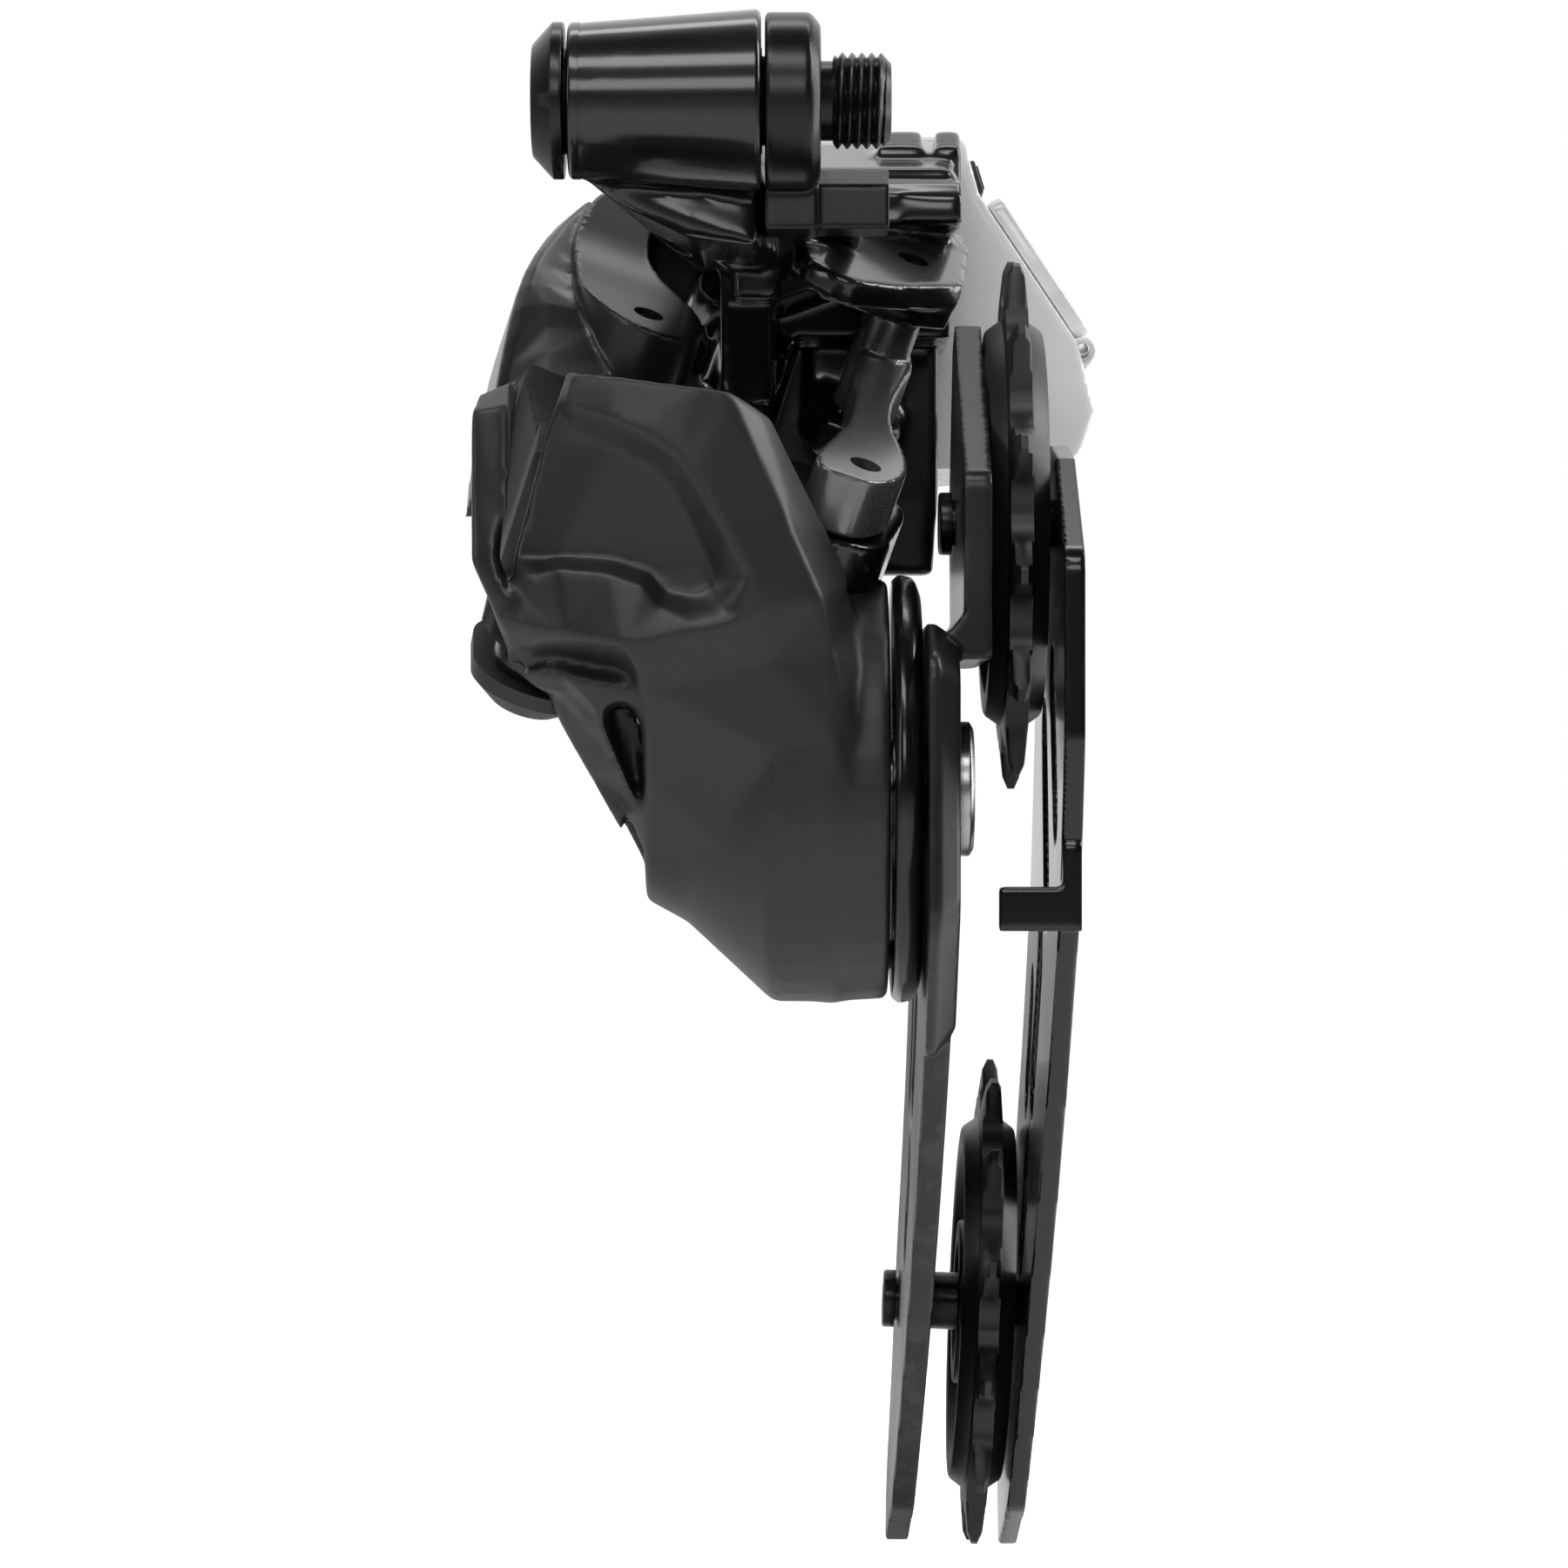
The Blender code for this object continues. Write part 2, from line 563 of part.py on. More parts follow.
def cover_prong(bm):
    """The thin outboard prong in front of the outer link's end."""
    hull(bm, [Vector(p) for p in (
        (-34.0, -19.0, -31.8), (-32.8, -20.0, -30.4), (-30.2, -20.0, -30.0), (-34.6, -19.0, -50.0),
        (-33.2, -18.0, -57.0), (-31.6, -18.0, -59.0), (-32.3, -20.0, -46.0), (-34.0, -15.5, -31.8),
        (-30.8, -16.5, -30.2), (-34.6, -14.5, -50.0), (-33.2, -14.0, -57.0), (-32.2, -16.0, -46.0))])


def prong_foot(bm):
    hull(bm, [Vector(p) for p in (
        (-34.2, -19.0, -52.5), (-33.2, -18.0, -57.0), (-31.6, -17.5, -59.4), (-33.2, -13.8, -57.0),
        (-26.0, -21.5, -54.0), (-26.0, -20.0, -60.5), (-26.0, -14.0, -61.5), (-29.0, -20.4, -52.0),
        (-34.2, -15.0, -52.5))])


def cover_recess(bm):
    """The sunk panel between the outboard edge and the raised ridge."""
    hull(bm, [Vector(p) for p in (
        (-26.5, -27.5, -36.0), (-15.5, -32.0, -41.5), (-10.0, -32.0, -49.5), (-12.0, -32.0, -52.5),
        (-29.0, -26.0, -52.0), (-26.5, -23.6, -37.0), (-17.0, -24.4, -42.5), (-12.5, -23.6, -50.5),
        (-13.0, -23.2, -52.0), (-28.0, -19.6, -50.5))])


def cover_cavity(bm):
    """Room for the knuckle's arm, the outer link's end and their pin."""
    hull(bm, [Vector(p) for p in (
        (-26.0, -20.6, -32.5), (-9.8, -22.6, -35.0), (-3.6, -15.0, -50.5), (-6.5, -17.0, -60.0),
        (-26.5, -17.5, -57.0), (-28.5, -14.6, -50.0), (-27.0, 14.0, -26.0), (2.0, 14.0, -36.0),
        (2.0, 14.0, -62.0), (-28.0, 14.0, -66.0), (-20.0, -9.0, -66.0), (-40.0, 14.0, -60.0),
        (-36.5, -11.4, -48.0), (-36.0, -11.2, -60.5))])


def cover_pocket(bm):
    """A slanted tear-shaped pocket in the flank."""
    run = placed((-20.4, -16.0, -65.0), (0.32, 0.85, 0.10), (0.35, 0.0, -1.0))
    prism(bm, round_corners([(-3.6, -1.9, 1.8), (-3.6, 2.2, 1.8), (8.4, 0.6, 0.5), (8.4, -0.9, 0.5)], 3), run,
          -6.0, 9.0)


def build_cover(finish):
    y, z = P_CENTRE
    made = solid("p_cover", finish["matte_cover"], drum)
    for name, build in (("shoulder", cover_shoulder), ("flank", cover_flank), ("prong", cover_prong),
                        ("prong_foot", prong_foot)):
        join(made, name, build)
    cut(made, "recess", cover_recess)
    cut(made, "pocket", cover_pocket)
    cut(made, "drum_bore", lambda bm: drum(bm, 2.1, -15.9, 8.0, 36))
    cut(made, "cavity", cover_cavity)
    cut(made, "arm_room", lambda bm: knuckle_arm(bm, 0.6))
    cut(made, "upper_ear_room", lambda bm: knuckle_ear(bm, EAR_UNDER + 0.4, EAR_UNDER + 5.0, 5.1))
    cut(made, "lower_ear_room", lambda bm: knuckle_ear(bm, LINK_UNDER - 3.4, LINK_UNDER + 0.2, 5.1))
    cut(made, "link_room", lambda bm: rod(bm, link_frame(*LINK_STEP), LINK_UNDER - 8.0, EAR_UNDER + 0.6, 6.8, 24))
    cut(made, "inner_boss_room", lambda bm: inner_pin_boss(bm, 5.7, -18.6, 12.0))
    cut(made, "inner_link_sweep", inner_link_sweep)
    return made


def inner_link_sweep(bm):
    """The space that the inner link crosses as the knuckle moves inboard."""
    p, q = UPPER_SPREAD[0] + LINK_STEP[0], UPPER_SPREAD[1] + LINK_STEP[1]
    turns = [math.radians(t) for t in range(200, 361, 16)]
    outline = [(p + 8.0 * math.cos(t), q + 8.0 * math.sin(t)) for t in turns]
    prism(bm, outline + [(p + 8.0, q + 30.0), (p - 20.0, q + 34.0), (p - 32.0, q + 18.0)], link_frame(), -6.0, 12.0)


def bumper(bm):
    """A domed rubber-faced cap under the outer link's lower pin."""
    u, v = LINK_STEP
    low = LINK_UNDER - 3.0 - GAP
    turned(bm, [(low - 3.4, 0.0), (low - 3.4, 2.6), (low - 2.6, 4.8), (low - 1.2, 6.0), (low, 6.3), (low, 0.0)],
           link_frame(u, v), 24)


def spring_curve(finish):
    """The cage's torsion spring, a coil round the pivot axle."""
    turns, steps, wire, coil_r = 3.0, 14, 1.0, 11.6
    pitch = 2 * wire + 0.25
    count = int(turns * steps)
    curve = bpy.data.curves.new("cage_spring", "CURVE")
    curve.dimensions = "3D"
    curve.bevel_depth = wire * MM
    curve.bevel_resolution = 1
    curve.use_fill_caps = True
    line = curve.splines.new("POLY")
    line.points.add(count)
    y, z = P_CENTRE
    for i in range(count + 1):
        turn = 2 * math.pi * i / steps
        point = along_x(y, z) @ Vector((coil_r * math.cos(turn), coil_r * math.sin(turn), -7.0 + pitch * i / steps))
        line.points[i].co = (*(point * MM), 1.0)
    curve.materials.append(finish["pin_steel"])
    made = bpy.data.objects.new("cage_spring", curve)
    bpy.context.scene.collection.objects.link(made)
    return made


def build_knuckle_fittings(finish):
    y, z = P_CENTRE
    u, v = LINK_STEP
    p, q = UPPER_SPREAD[0] + u, UPPER_SPREAD[1] + v
    made = [
        solid("lower_pin_outer", finish["pin_steel"], lambda bm: rod(
            bm, link_frame(u, v), LINK_UNDER - 2.7, EAR_UNDER + 4.4, PIN_R, 18, 0.25)),
        solid("lower_pin_inner", finish["pin_steel"], lambda bm: rod(
            bm, link_frame(p, q), -17.0, INNER_TOP - 0.8, PIN_R, 18, 0.25)),
        solid("skid_bumper", finish["polymer"], bumper),
        solid("p_bush", finish["polymer"], lambda bm: tube(
            bm, along_x(y, z), -13.8, -9.4, P_AXLE_R + RUN, 6.3, 28)),
        solid("clutch_band", finish["pin_steel"], lambda bm: tube(
            bm, along_x(y, z), -8.6, -2.0, 8.15, 9.4, 20)),
        spring_curve(finish),
    ]
    return made


# ----------------------------------------------------------------------- cage


def cage_flange(bm):
    y, z = P_CENTRE
    turned(bm, [(7.2, P_AXLE_R + GAP), (7.2, 21.2), (7.8, 21.8), (9.6, 21.8), (10.1, 21.3), (10.1, P_AXLE_R + GAP)],
           along_x(y, z), 40, closed=True)


def guide_plate_outline():
    """The outer plate's raised part beside the guide pulley."""
    return round_corners([(20.0, -23.4, 3.0), (14.0, -21.6, 1.0), (-14.0, -39.2, 2.0), (-14.0, -57.5, 0.5),
                          (27.0, -57.5, 0.5), (31.0, -40.0, 8.0)], 3)


def boss_outline():
    """The plate round the cage pivot, with six soft sides."""
    y, z = P_CENTRE
    return round_corners([(y - 23.5, z - 13.5, 4.0), (y - 23.5, z + 13.0, 3.0), (y - 13.0, z + 16.5, 3.0),
                          (y + 25.0, z + 16.5, 3.0), (y + 34.0, z - 8.0, 6.0), (y + 12.0, z - 27.5, 4.0),
                          (y - 8.0, z - 27.0, 4.0)], 2)


def outer_arm_outline():
    """The outer plate's arm from the pivot down to the tension pulley."""
    y, z = TENSION_CENTRE
    return round_corners([(-20.0, -82.0, 4.0), (6.0, -60.0, 4.0), (40.0, -68.0, 10.0), (y + 17.0, z + 4.0, 14.0),
                          (y + 13.0, z - 22.0, 9.0), (y + 2.0, z - 28.0, 3.0), (y - 12.0, z - 22.0, 5.0)], 4)


def inner_plate_outline():
    y, z = TENSION_CENTRE
    return round_corners([(-3.5, -36.8, 2.0), (-20.5, -47.5, 3.0), (-20.5, -66.0, 4.0), (-12.0, -84.0, 4.0),
                          (y - 13.0, z - 22.0, 5.0), (y + 2.0, z - 28.6, 4.0), (y + 13.5, z - 22.0, 9.0),
                          (y + 17.0, z + 2.0, 14.0), (45.0, -82.0, 12.0), (24.0, -40.0, 10.0), (10.0, -34.5, 6.0)], 4)


def bent_plate(outline, low, high):
    """Builds a plate on the cage's bow: the outline extruded along X, then shifted."""
    def build(bm):
        prism(bm, outline, along_x(0, 0), low, high)
        bow(bm)
    return build


def jog_web(bm):
    """The step between the guide part and the pivot boss."""
    low, high = OUTER_PLATE_X
    boss_low, boss_high = OUTER_BOSS_X
    hull(bm, [Vector((x, y, -53.0)) for x in (low, high) for y in (-14.0, 28.0)]
         + [Vector((x, y, -57.6)) for x in (boss_low, boss_high + 2.6) for y in (-14.0, 26.0)])


def arm_slots():
    """Two long openings down each arm."""
    return [((22.0, -88.0), (34.0, -103.0), 4.2), ((45.0, -104.0), (38.0, -93.0), 3.2),
            ((39.5, -112.5), (45.0, -121.0), 4.0)]


def hole_through(target, name, y, z, radius, segments=20):
    cut(target, name, lambda bm: rod(bm, along_x(y, z), 0.0, 40.0, radius, segments))


def build_outer_plate(finish):
    y, z = P_CENTRE
    low, high = OUTER_BOSS_X
    made = solid("cage_outer_plate", finish["cage_grey"], bent_plate(outer_arm_outline(), low + 0.3, high - 0.2))
    join(made, "boss", lambda bm: prism(bm, boss_outline(), along_x(0, 0), low, high))
    join(made, "guide_part", lambda bm: prism(bm, guide_plate_outline(), along_x(0, 0), *OUTER_PLATE_X))
    join(made, "jog", jog_web)
    hole_through(made, "pivot_hole", y, z, P_AXLE_R + GAP)
    hole_through(made, "guide_hole", *GUIDE_CENTRE, BOLT_M5_R + GAP)
    cut(made, "tension_hole", lambda bm: rod(bm, tension_frame(), -14.0, 0.0, BOLT_M5_R + GAP, 20))
    for i, (start, end, radius) in enumerate(arm_slots()):
        cut(made, f"slot_{i}", lambda bm, s=start, e=end, r=radius: prism(
            bm, slot_outline(s, e, r, 4), along_x(0, 0), 0.0, 20.0))
    return made


def chain_tab(bm):
    """Keeps the chain on the guide pulley: a finger bent outboard from the front edge."""
    hull(bm, block((17.6, -16.4, -84.6), (25.4, -14.2, -80.2)))


def tab_neck(bm):
    hull(bm, block((23.9, -16.4, -84.6), (25.8, -9.0, -76.0)))


def build_inner_plate(finish):
    made = solid("cage_inner_plate", finish["gloss_black"], bent_plate(inner_plate_outline(), *INNER_PLATE_X))
    join(made, "neck", tab_neck)
    join(made, "tab", chain_tab)
    hole_through(made, "guide_hole", *GUIDE_CENTRE, BOLT_M5_R + GAP)
    cut(made, "tension_hole", lambda bm: rod(bm, tension_frame(), 0.0, 14.0, BOLT_M5_R + GAP, 20))
    windows = arm_slots() + [((1.0, -60.0), (-4.0, -72.0), 4.0), ((16.0, -66.0), (12.0, -80.0), 5.0)]
    for i, (start, end, radius) in enumerate(windows):
        cut(made, f"slot_{i}", lambda bm, s=start, e=end, r=radius: prism(
            bm, slot_outline(s, e, r, 4), along_x(0, 0), 15.0, 30.0))
    return made


def tension_frame():
    """The tension pulley's axis, square to the bowed plates."""
    y, z = TENSION_CENTRE
    lean = 2 * CAGE_BOW * (P_CENTRE[1] - z)
    return placed((TENSION_X, y, z), (1.0, 0.0, -lean), (0.0, 1.0, 0.0))


def tooth_outline():
    """One turn of sprocket teeth as (angle, radius): roller seats between narrow tips."""
    pitch_r = CHAIN_PITCH / (2 * math.sin(math.pi / PULLEY_TEETH))
    tip_r, roller = pitch_r + 1.5, 3.95
    step = 2 * math.pi / PULLEY_TEETH
    outline = []
    for i in range(PULLEY_TEETH):
        for swing in (math.radians(t) for t in (-58.0, 0.0, 58.0)):
            reach = pitch_r - roller * math.cos(swing)
            across = roller * math.sin(swing)
            outline.append((i * step + across / reach, math.hypot(reach, across)))
        outline.append(((i + 0.5) * step - 0.03, tip_r))
        outline.append(((i + 0.5) * step + 0.03, tip_r))
    return outline


def pulley(name, finish, frame, phase):
    """Toothed disc, rims, web and hub in one piece, bored for its bearing."""
    half = 0.5 * PULLEY_WIDTH
    outline = tooth_outline()
    side = [(half, PULLEY_BORE_R), (half, 9.2), (1.4, 9.6), (1.4, 17.4), (half, 18.0), (half, 20.2), (1.15, 21.2)]
    stations = [(-along, radius) for along, radius in side] + [(-0.5, None), (0.5, None)] + side[::-1]
    bm = bmesh.new()
    rings = []
    for along, radius in stations:
        ring = [(turn + phase, radius or tooth_r) for turn, tooth_r in outline]
        rings.append([bm.verts.new(frame @ Vector((r * math.cos(t), r * math.sin(t), along))) for t, r in ring])
    for low, high in zip(rings, rings[1:] + rings[:1]):
        for i in range(len(low)):
            j = (i + 1) % len(low)
            bm.faces.new([low[i], low[j], high[j], high[i]])
    made = make_object(name, bm, finish["polymer"])
    for i in range(5):
        turn = 2 * math.pi * i / 5
        window = frame @ Matrix.Translation((13.5 * math.cos(turn), 13.5 * math.sin(turn), 0.0))
        cut(made, f"window_{i}", lambda bm, w=window: rod(bm, w, -5.0, 5.0, 2.8, 8))
    return made


def pulley_fittings(prefix, finish, frame, outer_gap, inner_gap):
    """Bearing on the pulley; sleeve and bolt on the cage. The gaps reach to the plates' inner faces."""
    bearing = solid(f"{prefix}_bearing", finish["pin_steel"], lambda bm: tube(
        bm, frame, -2.5, 2.5, SLEEVE_R + RUN, PULLEY_BORE_R - GAP, 24))
    sleeve = solid(f"{prefix}_sleeve", finish["pin_steel"], lambda bm: tube(
        bm, frame, -outer_gap + GAP, inner_gap - GAP, BOLT_M5_R + GAP, SLEEVE_R, 20))
    bolt = solid(f"{prefix}_bolt", finish["black_steel"], lambda bm: turned(bm, [
        (-outer_gap - 4.5, 0.0), (-outer_gap - 4.5, 2.9), (-outer_gap - 4.2, 3.3), (-outer_gap - 3.1, 3.3),
        (-outer_gap - 3.1, BOLT_M5_R), (inner_gap + 2.6, BOLT_M5_R), (inner_gap + 2.6, 0.0)], frame, 20))
    cut(bolt, "hex_socket", lambda bm: rod(bm, frame, -outer_gap - 5.0, -outer_gap - 2.4, 1.75, 6))
    return bearing, sleeve, bolt


def build_cage(finish):
    y, z = P_CENTRE
    made = [build_outer_plate(finish), build_inner_plate(finish),
            solid("cage_flange", finish["gloss_black"], cage_flange)]
    axle = solid("p_axle", finish["black_steel"], lambda bm: turned(bm, [
        (-15.2, 0.0), (-15.2, P_AXLE_R - 0.4), (-14.8, P_AXLE_R), (13.9, P_AXLE_R), (13.9, 6.4), (14.3, 6.9),
        (15.2, 6.9), (15.6, 6.4), (15.6, 0.0)], along_x(y, z), 28))
    cut(axle, "hex_socket", lambda bm: rod(bm, along_x(y, z), 12.5, 17.0, 2.9, 6))
    drum_ring = solid("clutch_drum", finish["pin_steel"], lambda bm: tube(
        bm, along_x(y, z), -8.6, 6.9, P_AXLE_R + GAP, 8.05, 20))
    stop = solid("cage_stop_pin", finish["black_steel"], lambda bm: rod(
        bm, along_x(y + 19.0, z - 17.6), 4.0, OUTER_BOSS_X[0] - GAP, 1.6, 14, 0.3))
    return made + [axle, drum_ring, stop]


def build_pulleys(finish, cage):
    """Both pulleys with their bearings; their sleeves and bolts go to the cage."""
    forward = math.pi
    guide_frame = along_x(*GUIDE_CENTRE, GUIDE_X)
    shift = CAGE_BOW * (P_CENTRE[1] - TENSION_CENTRE[1]) ** 2
    guide_gaps = (GUIDE_X - OUTER_PLATE_X[1], INNER_PLATE_X[0] - GUIDE_X)
    tension_gaps = (TENSION_X - OUTER_BOSS_X[1] + 0.2 + shift, INNER_PLATE_X[0] - shift - TENSION_X)
    bodies = {}
    for prefix, frame, gaps in (("guide", guide_frame, guide_gaps), ("tension", tension_frame(), tension_gaps)):
        bearing, sleeve, bolt = pulley_fittings(prefix, finish, frame, *gaps)
        bodies[f"{prefix}_pulley"] = [pulley(f"{prefix}_pulley", finish, frame, forward), bearing]
        cage += [sleeve, bolt]
    return bodies


# -------------------------------------------------------------------- battery


def front_view():
    """Local X inboard, local Y up, local Z forward: outlines drawn as seen from the front."""
    return placed((0.0, 0.0, 0.0), (0.0, -1.0, 0.0), (1.0, 0.0, 0.0))


def box_section():
    """The battery housing seen from the front, as (inboard, up)."""
    return round_corners([(-6.0, 3.4, 2.0), (16.6, 3.4, 1.5), (18.4, -3.2, 1.0), (29.6, -20.0, 0.0),
                          (31.4, -27.6, 1.0), (29.6, -33.0, 2.0), (8.0, -35.0, 3.0), (-6.0, -22.0, 3.0)], 3)


def slant_frame(y=68.0):
    """On the housing's slanted face: local X rearward, local Y up the slope, local Z outward."""
    return placed((24.0, y, -11.6), (0.832, 0.0, 0.555), (0.0, 1.0, 0.0))


def facet_frame():
    """On the narrow face above the door, where the latch slides."""
    return placed((17.45, 68.0, 0.1), (0.957, 0.0, 0.290), (0.0, 1.0, 0.0))


def rear_frame(x, z):
    """On the housing's rear face: local Z rearward."""
    return placed((x, BOX_Y[1], z), (0.0, 1.0, 0.0), (1.0, 0.0, 0.0))


def rectangle(width, height, radius, steps=3):
    w, h = 0.5 * width, 0.5 * height
    return round_corners([(-w, -h, radius), (w, -h, radius), (w, h, radius), (-w, h, radius)], steps)


def hinge_frame():
    return placed((DOOR_HINGE[0], 68.0, DOOR_HINGE[1]), (0.0, 1.0, 0.0), (1.0, 0.0, 0.0))


def build_housing(finish):
    low, high = BOX_Y
    made = solid("battery_housing", finish["cage_grey"], lambda bm: prism(bm, box_section(), front_view(), -high, -low))
    cut(made, "battery_bay", lambda bm: prism(bm, rectangle(24.0, 15.0, 2.0), slant_frame(), -13.6, 2.0))
    cut(made, "seal_groove", lambda bm: prism(bm, rectangle(26.4, 17.2, 2.6), slant_frame(), -1.3, 2.0))
    cut(made, "hinge_groove", lambda bm: rod(bm, hinge_frame(), -13.5, 13.5, 2.1, 16))
    cut(made, "hinge_hole", lambda bm: rod(bm, hinge_frame(), -15.4, 15.4, 1.0, 12))
    cut(made, "latch_slot", lambda bm: prism(bm, rectangle(9.0, 2.2, 0.4, 1), facet_frame(), -2.4, 2.0))
    cut(made, "button_well", lambda bm: rod(bm, rear_frame(2.0, -12.0), -4.0, 2.0, 3.6, 24))
    cut(made, "lens_well", lambda bm: rod(bm, rear_frame(9.5, -12.0), -2.4, 2.0, 1.5, 16))
    return made


def door_plate(bm):
    prism(bm, rectangle(27.4, 18.4, 1.6), slant_frame() @ Matrix.Translation((0.0, -0.3, 0.0)), GAP, 2.1)


def build_battery(finish):
    housing = build_housing(finish)
    door = solid("battery_door", finish["matte_cover"], door_plate)
    join(door, "barrel", lambda bm: rod(bm, hinge_frame(), -12.9, 12.9, 1.6, 16))
    cut(door, "hinge_hole", lambda bm: rod(bm, hinge_frame(), -14.0, 14.0, 0.7 + RUN, 12))
    seal = solid("door_seal", finish["polymer"], lambda bm: prism(
        bm, rectangle(25.8, 16.6, 2.4), slant_frame(), -1.0, 0.05))
    cut(seal, "opening", lambda bm: prism(bm, rectangle(24.2, 15.2, 2.0), slant_frame(), -3.0, 3.0))
    battery = solid("battery", finish["battery"], lambda bm: prism(
        bm, rectangle(23.4, 14.4, 1.8), slant_frame(), -13.2, -0.2))
    soften(battery, 0.5)
    pin = solid("door_hinge_pin", finish["pin_steel"], lambda bm: rod(bm, hinge_frame(), -15.0, 15.0, 0.7, 12))
    latch = solid("door_latch", finish["polymer"], lambda bm: prism(
        bm, rectangle(7.0, 4.0, 0.8, 2), facet_frame(), GAP, 1.5))
    join(latch, "stem", lambda bm: prism(bm, rectangle(4.6, 1.6, 0.3, 1), facet_frame(), -1.9, 0.6))
    for i in range(3):
        at = facet_frame() @ Matrix.Translation((1.4 * (i - 1), 0.0, 1.3))
        join(latch, f"rib_{i}", lambda bm, at=at: prism(bm, rectangle(0.5, 2.8, 0.0), at, -0.3, 0.6))
    button = solid("function_button", finish["polymer"], lambda bm: turned(bm, [
        (-3.0, 0.0), (-3.0, 3.5), (-0.2, 3.5), (0.7, 3.1), (0.9, 2.4), (0.8, 0.0)], rear_frame(2.0, -12.0), 24))
    lens = solid("led_lens", finish["lens"], lambda bm: turned(bm, [
        (-2.1, 0.0), (-2.1, 1.2), (0.1, 1.2), (0.35, 0.8), (0.4, 0.0)], rear_frame(9.5, -12.0), 16))
    motor = solid("motor_unit", finish["gloss_black"], lambda bm: hull(
        bm, block((-11.0, 41.6, -32.6), (13.2, 51.6, -22.0))))
    for i in range(3):
        height = -24.6 - 3.0 * i
        join(motor, f"ridge_{i}", lambda bm, z=height: hull(bm, block((-9.0, 41.0, z - 0.7), (12.4, 42.4, z + 0.7))))
    return {"bracket": [housing, seal, battery, pin, lens, motor], "door": [door], "latch": [latch],
            "button": [button]}


# --------------------------------------------------------------------- bodies


def body_origins():
    """Each moving body's joint origin."""
    pivot = (0.0, *P_CENTRE)
    return {
        "hanger_mount": (None, (0.0, 0.0, 0.0)),
        "bracket": ("hanger_mount", (0.0, 0.0, 0.0)),
        "outer_link": ("bracket", link_point(0.0, 0.0, -13.0)),
        "inner_link": ("bracket", link_point(*UPPER_SPREAD, 0.0)),
        "p_knuckle": ("outer_link", link_point(*LINK_STEP, -13.0)),
        "cage": ("p_knuckle", pivot),
        "guide_pulley": ("cage", (GUIDE_X, *GUIDE_CENTRE)),
        "tension_pulley": ("cage", (TENSION_X, *TENSION_CENTRE)),
        "door": ("bracket", (DOOR_HINGE[0], 68.0, DOOR_HINGE[1])),
        "latch": ("bracket", tuple(facet_frame().translation)),
        "button": ("bracket", (2.0, BOX_Y[1], -12.0)),
    }


def gather(pieces):
    """Parents each body's pieces to an empty on its joint's axis."""
    empties = {}
    for body, (parent, origin) in body_origins().items():
        empty = bpy.data.objects.new(f"body_{body}", None)
        empty.empty_display_size = 5 * MM
        bpy.context.scene.collection.objects.link(empty)
        empty.location = Vector(origin) * MM
        empties[body] = (empty, Vector(origin) * MM)
        if parent:
            empty.parent = empties[parent][0]
            empty.location -= empties[parent][1]
        for piece in pieces[body]:
            piece.parent = empty
            piece.matrix_parent_inverse = Matrix.Translation(-empties[body][1])


def main():
    clear_scene()
    finish = {
        "black_steel": material("black_steel", (0.012, 0.012, 0.014), 0.25, 1.0),
        "pin_steel": material("pin_steel", (0.25, 0.25, 0.26), 0.3, 1.0),
        "flake_black": material("flake_black", (0.01, 0.01, 0.012), 0.22, 0.4),
        "gloss_black": material("gloss_black", (0.008, 0.008, 0.01), 0.18, 0.2),
        "matte_cover": material("matte_cover", (0.035, 0.033, 0.032), 0.5, 0.0),
        "cage_grey": material("cage_grey", (0.035, 0.036, 0.038), 0.45, 0.6),
        "polymer": material("polymer", (0.015, 0.015, 0.016), 0.5, 0.0),
        "lens": material("lens", (0.2, 0.02, 0.02), 0.1, 0.0),
        "battery": material("battery", (0.05, 0.05, 0.055), 0.5, 0.0),
    }
    pieces = build_battery(finish)
    pieces["hanger_mount"] = build_hanger_mount(finish)
    pieces["bracket"] += [build_bracket(finish)] + build_bracket_fittings(finish)
    pieces["outer_link"] = [build_outer_link(finish)]
    pieces["inner_link"] = [build_inner_link(finish)]
    pieces["p_knuckle"] = [build_knuckle(finish), build_cover(finish)] + build_knuckle_fittings(finish)
    pieces["cage"] = build_cage(finish)
    pieces.update(build_pulleys(finish, pieces["cage"]))
    gather(pieces)


main()
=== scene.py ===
"""The looks of a rear bicycle derailleur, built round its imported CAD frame.

Every piece rides on a CAD body and stands for the CAD nodes that it names. Shapes are written in
millimetres in the row frame (+X inboard, +Y rearward, +Z up, origin on the hanger bolt's axis at
the hanger's face) and are turned into metres in one place, mesh_object.
"""

import math

import bmesh
import bpy
from mathutils import Matrix, Vector
from mathutils.geometry import delaunay_2d_cdt


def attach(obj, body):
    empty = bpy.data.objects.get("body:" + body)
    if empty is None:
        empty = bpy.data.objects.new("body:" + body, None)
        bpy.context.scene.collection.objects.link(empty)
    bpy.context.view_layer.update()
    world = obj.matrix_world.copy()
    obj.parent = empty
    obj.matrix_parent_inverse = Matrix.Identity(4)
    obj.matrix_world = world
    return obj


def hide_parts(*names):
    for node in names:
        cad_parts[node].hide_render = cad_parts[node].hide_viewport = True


MM = 0.001

# Parallelogram
PIN_UP = Vector((0.314, -0.380, 0.870)).normalized()
PIN_OUT_TOP = Vector((-18.1, 18, -20))
UPPER_SPREAD = (24.4, 9.6)
LINK_STEP = (2.9, -38.9)
PIN_R = 1.6
WING_TOP = 12.7
INNER_TOP = 2.1
EAR_UNDER = -6.9
LINK_UNDER = -24
EAR_BEND = 8  # where the crescent starts to climb, and half the length of the soft bend
EAR_SOFT = 6
LINK_RANGE = math.radians(40.3)  # the outer link's travel, and a little more
EAR_CLIMB = 0.45

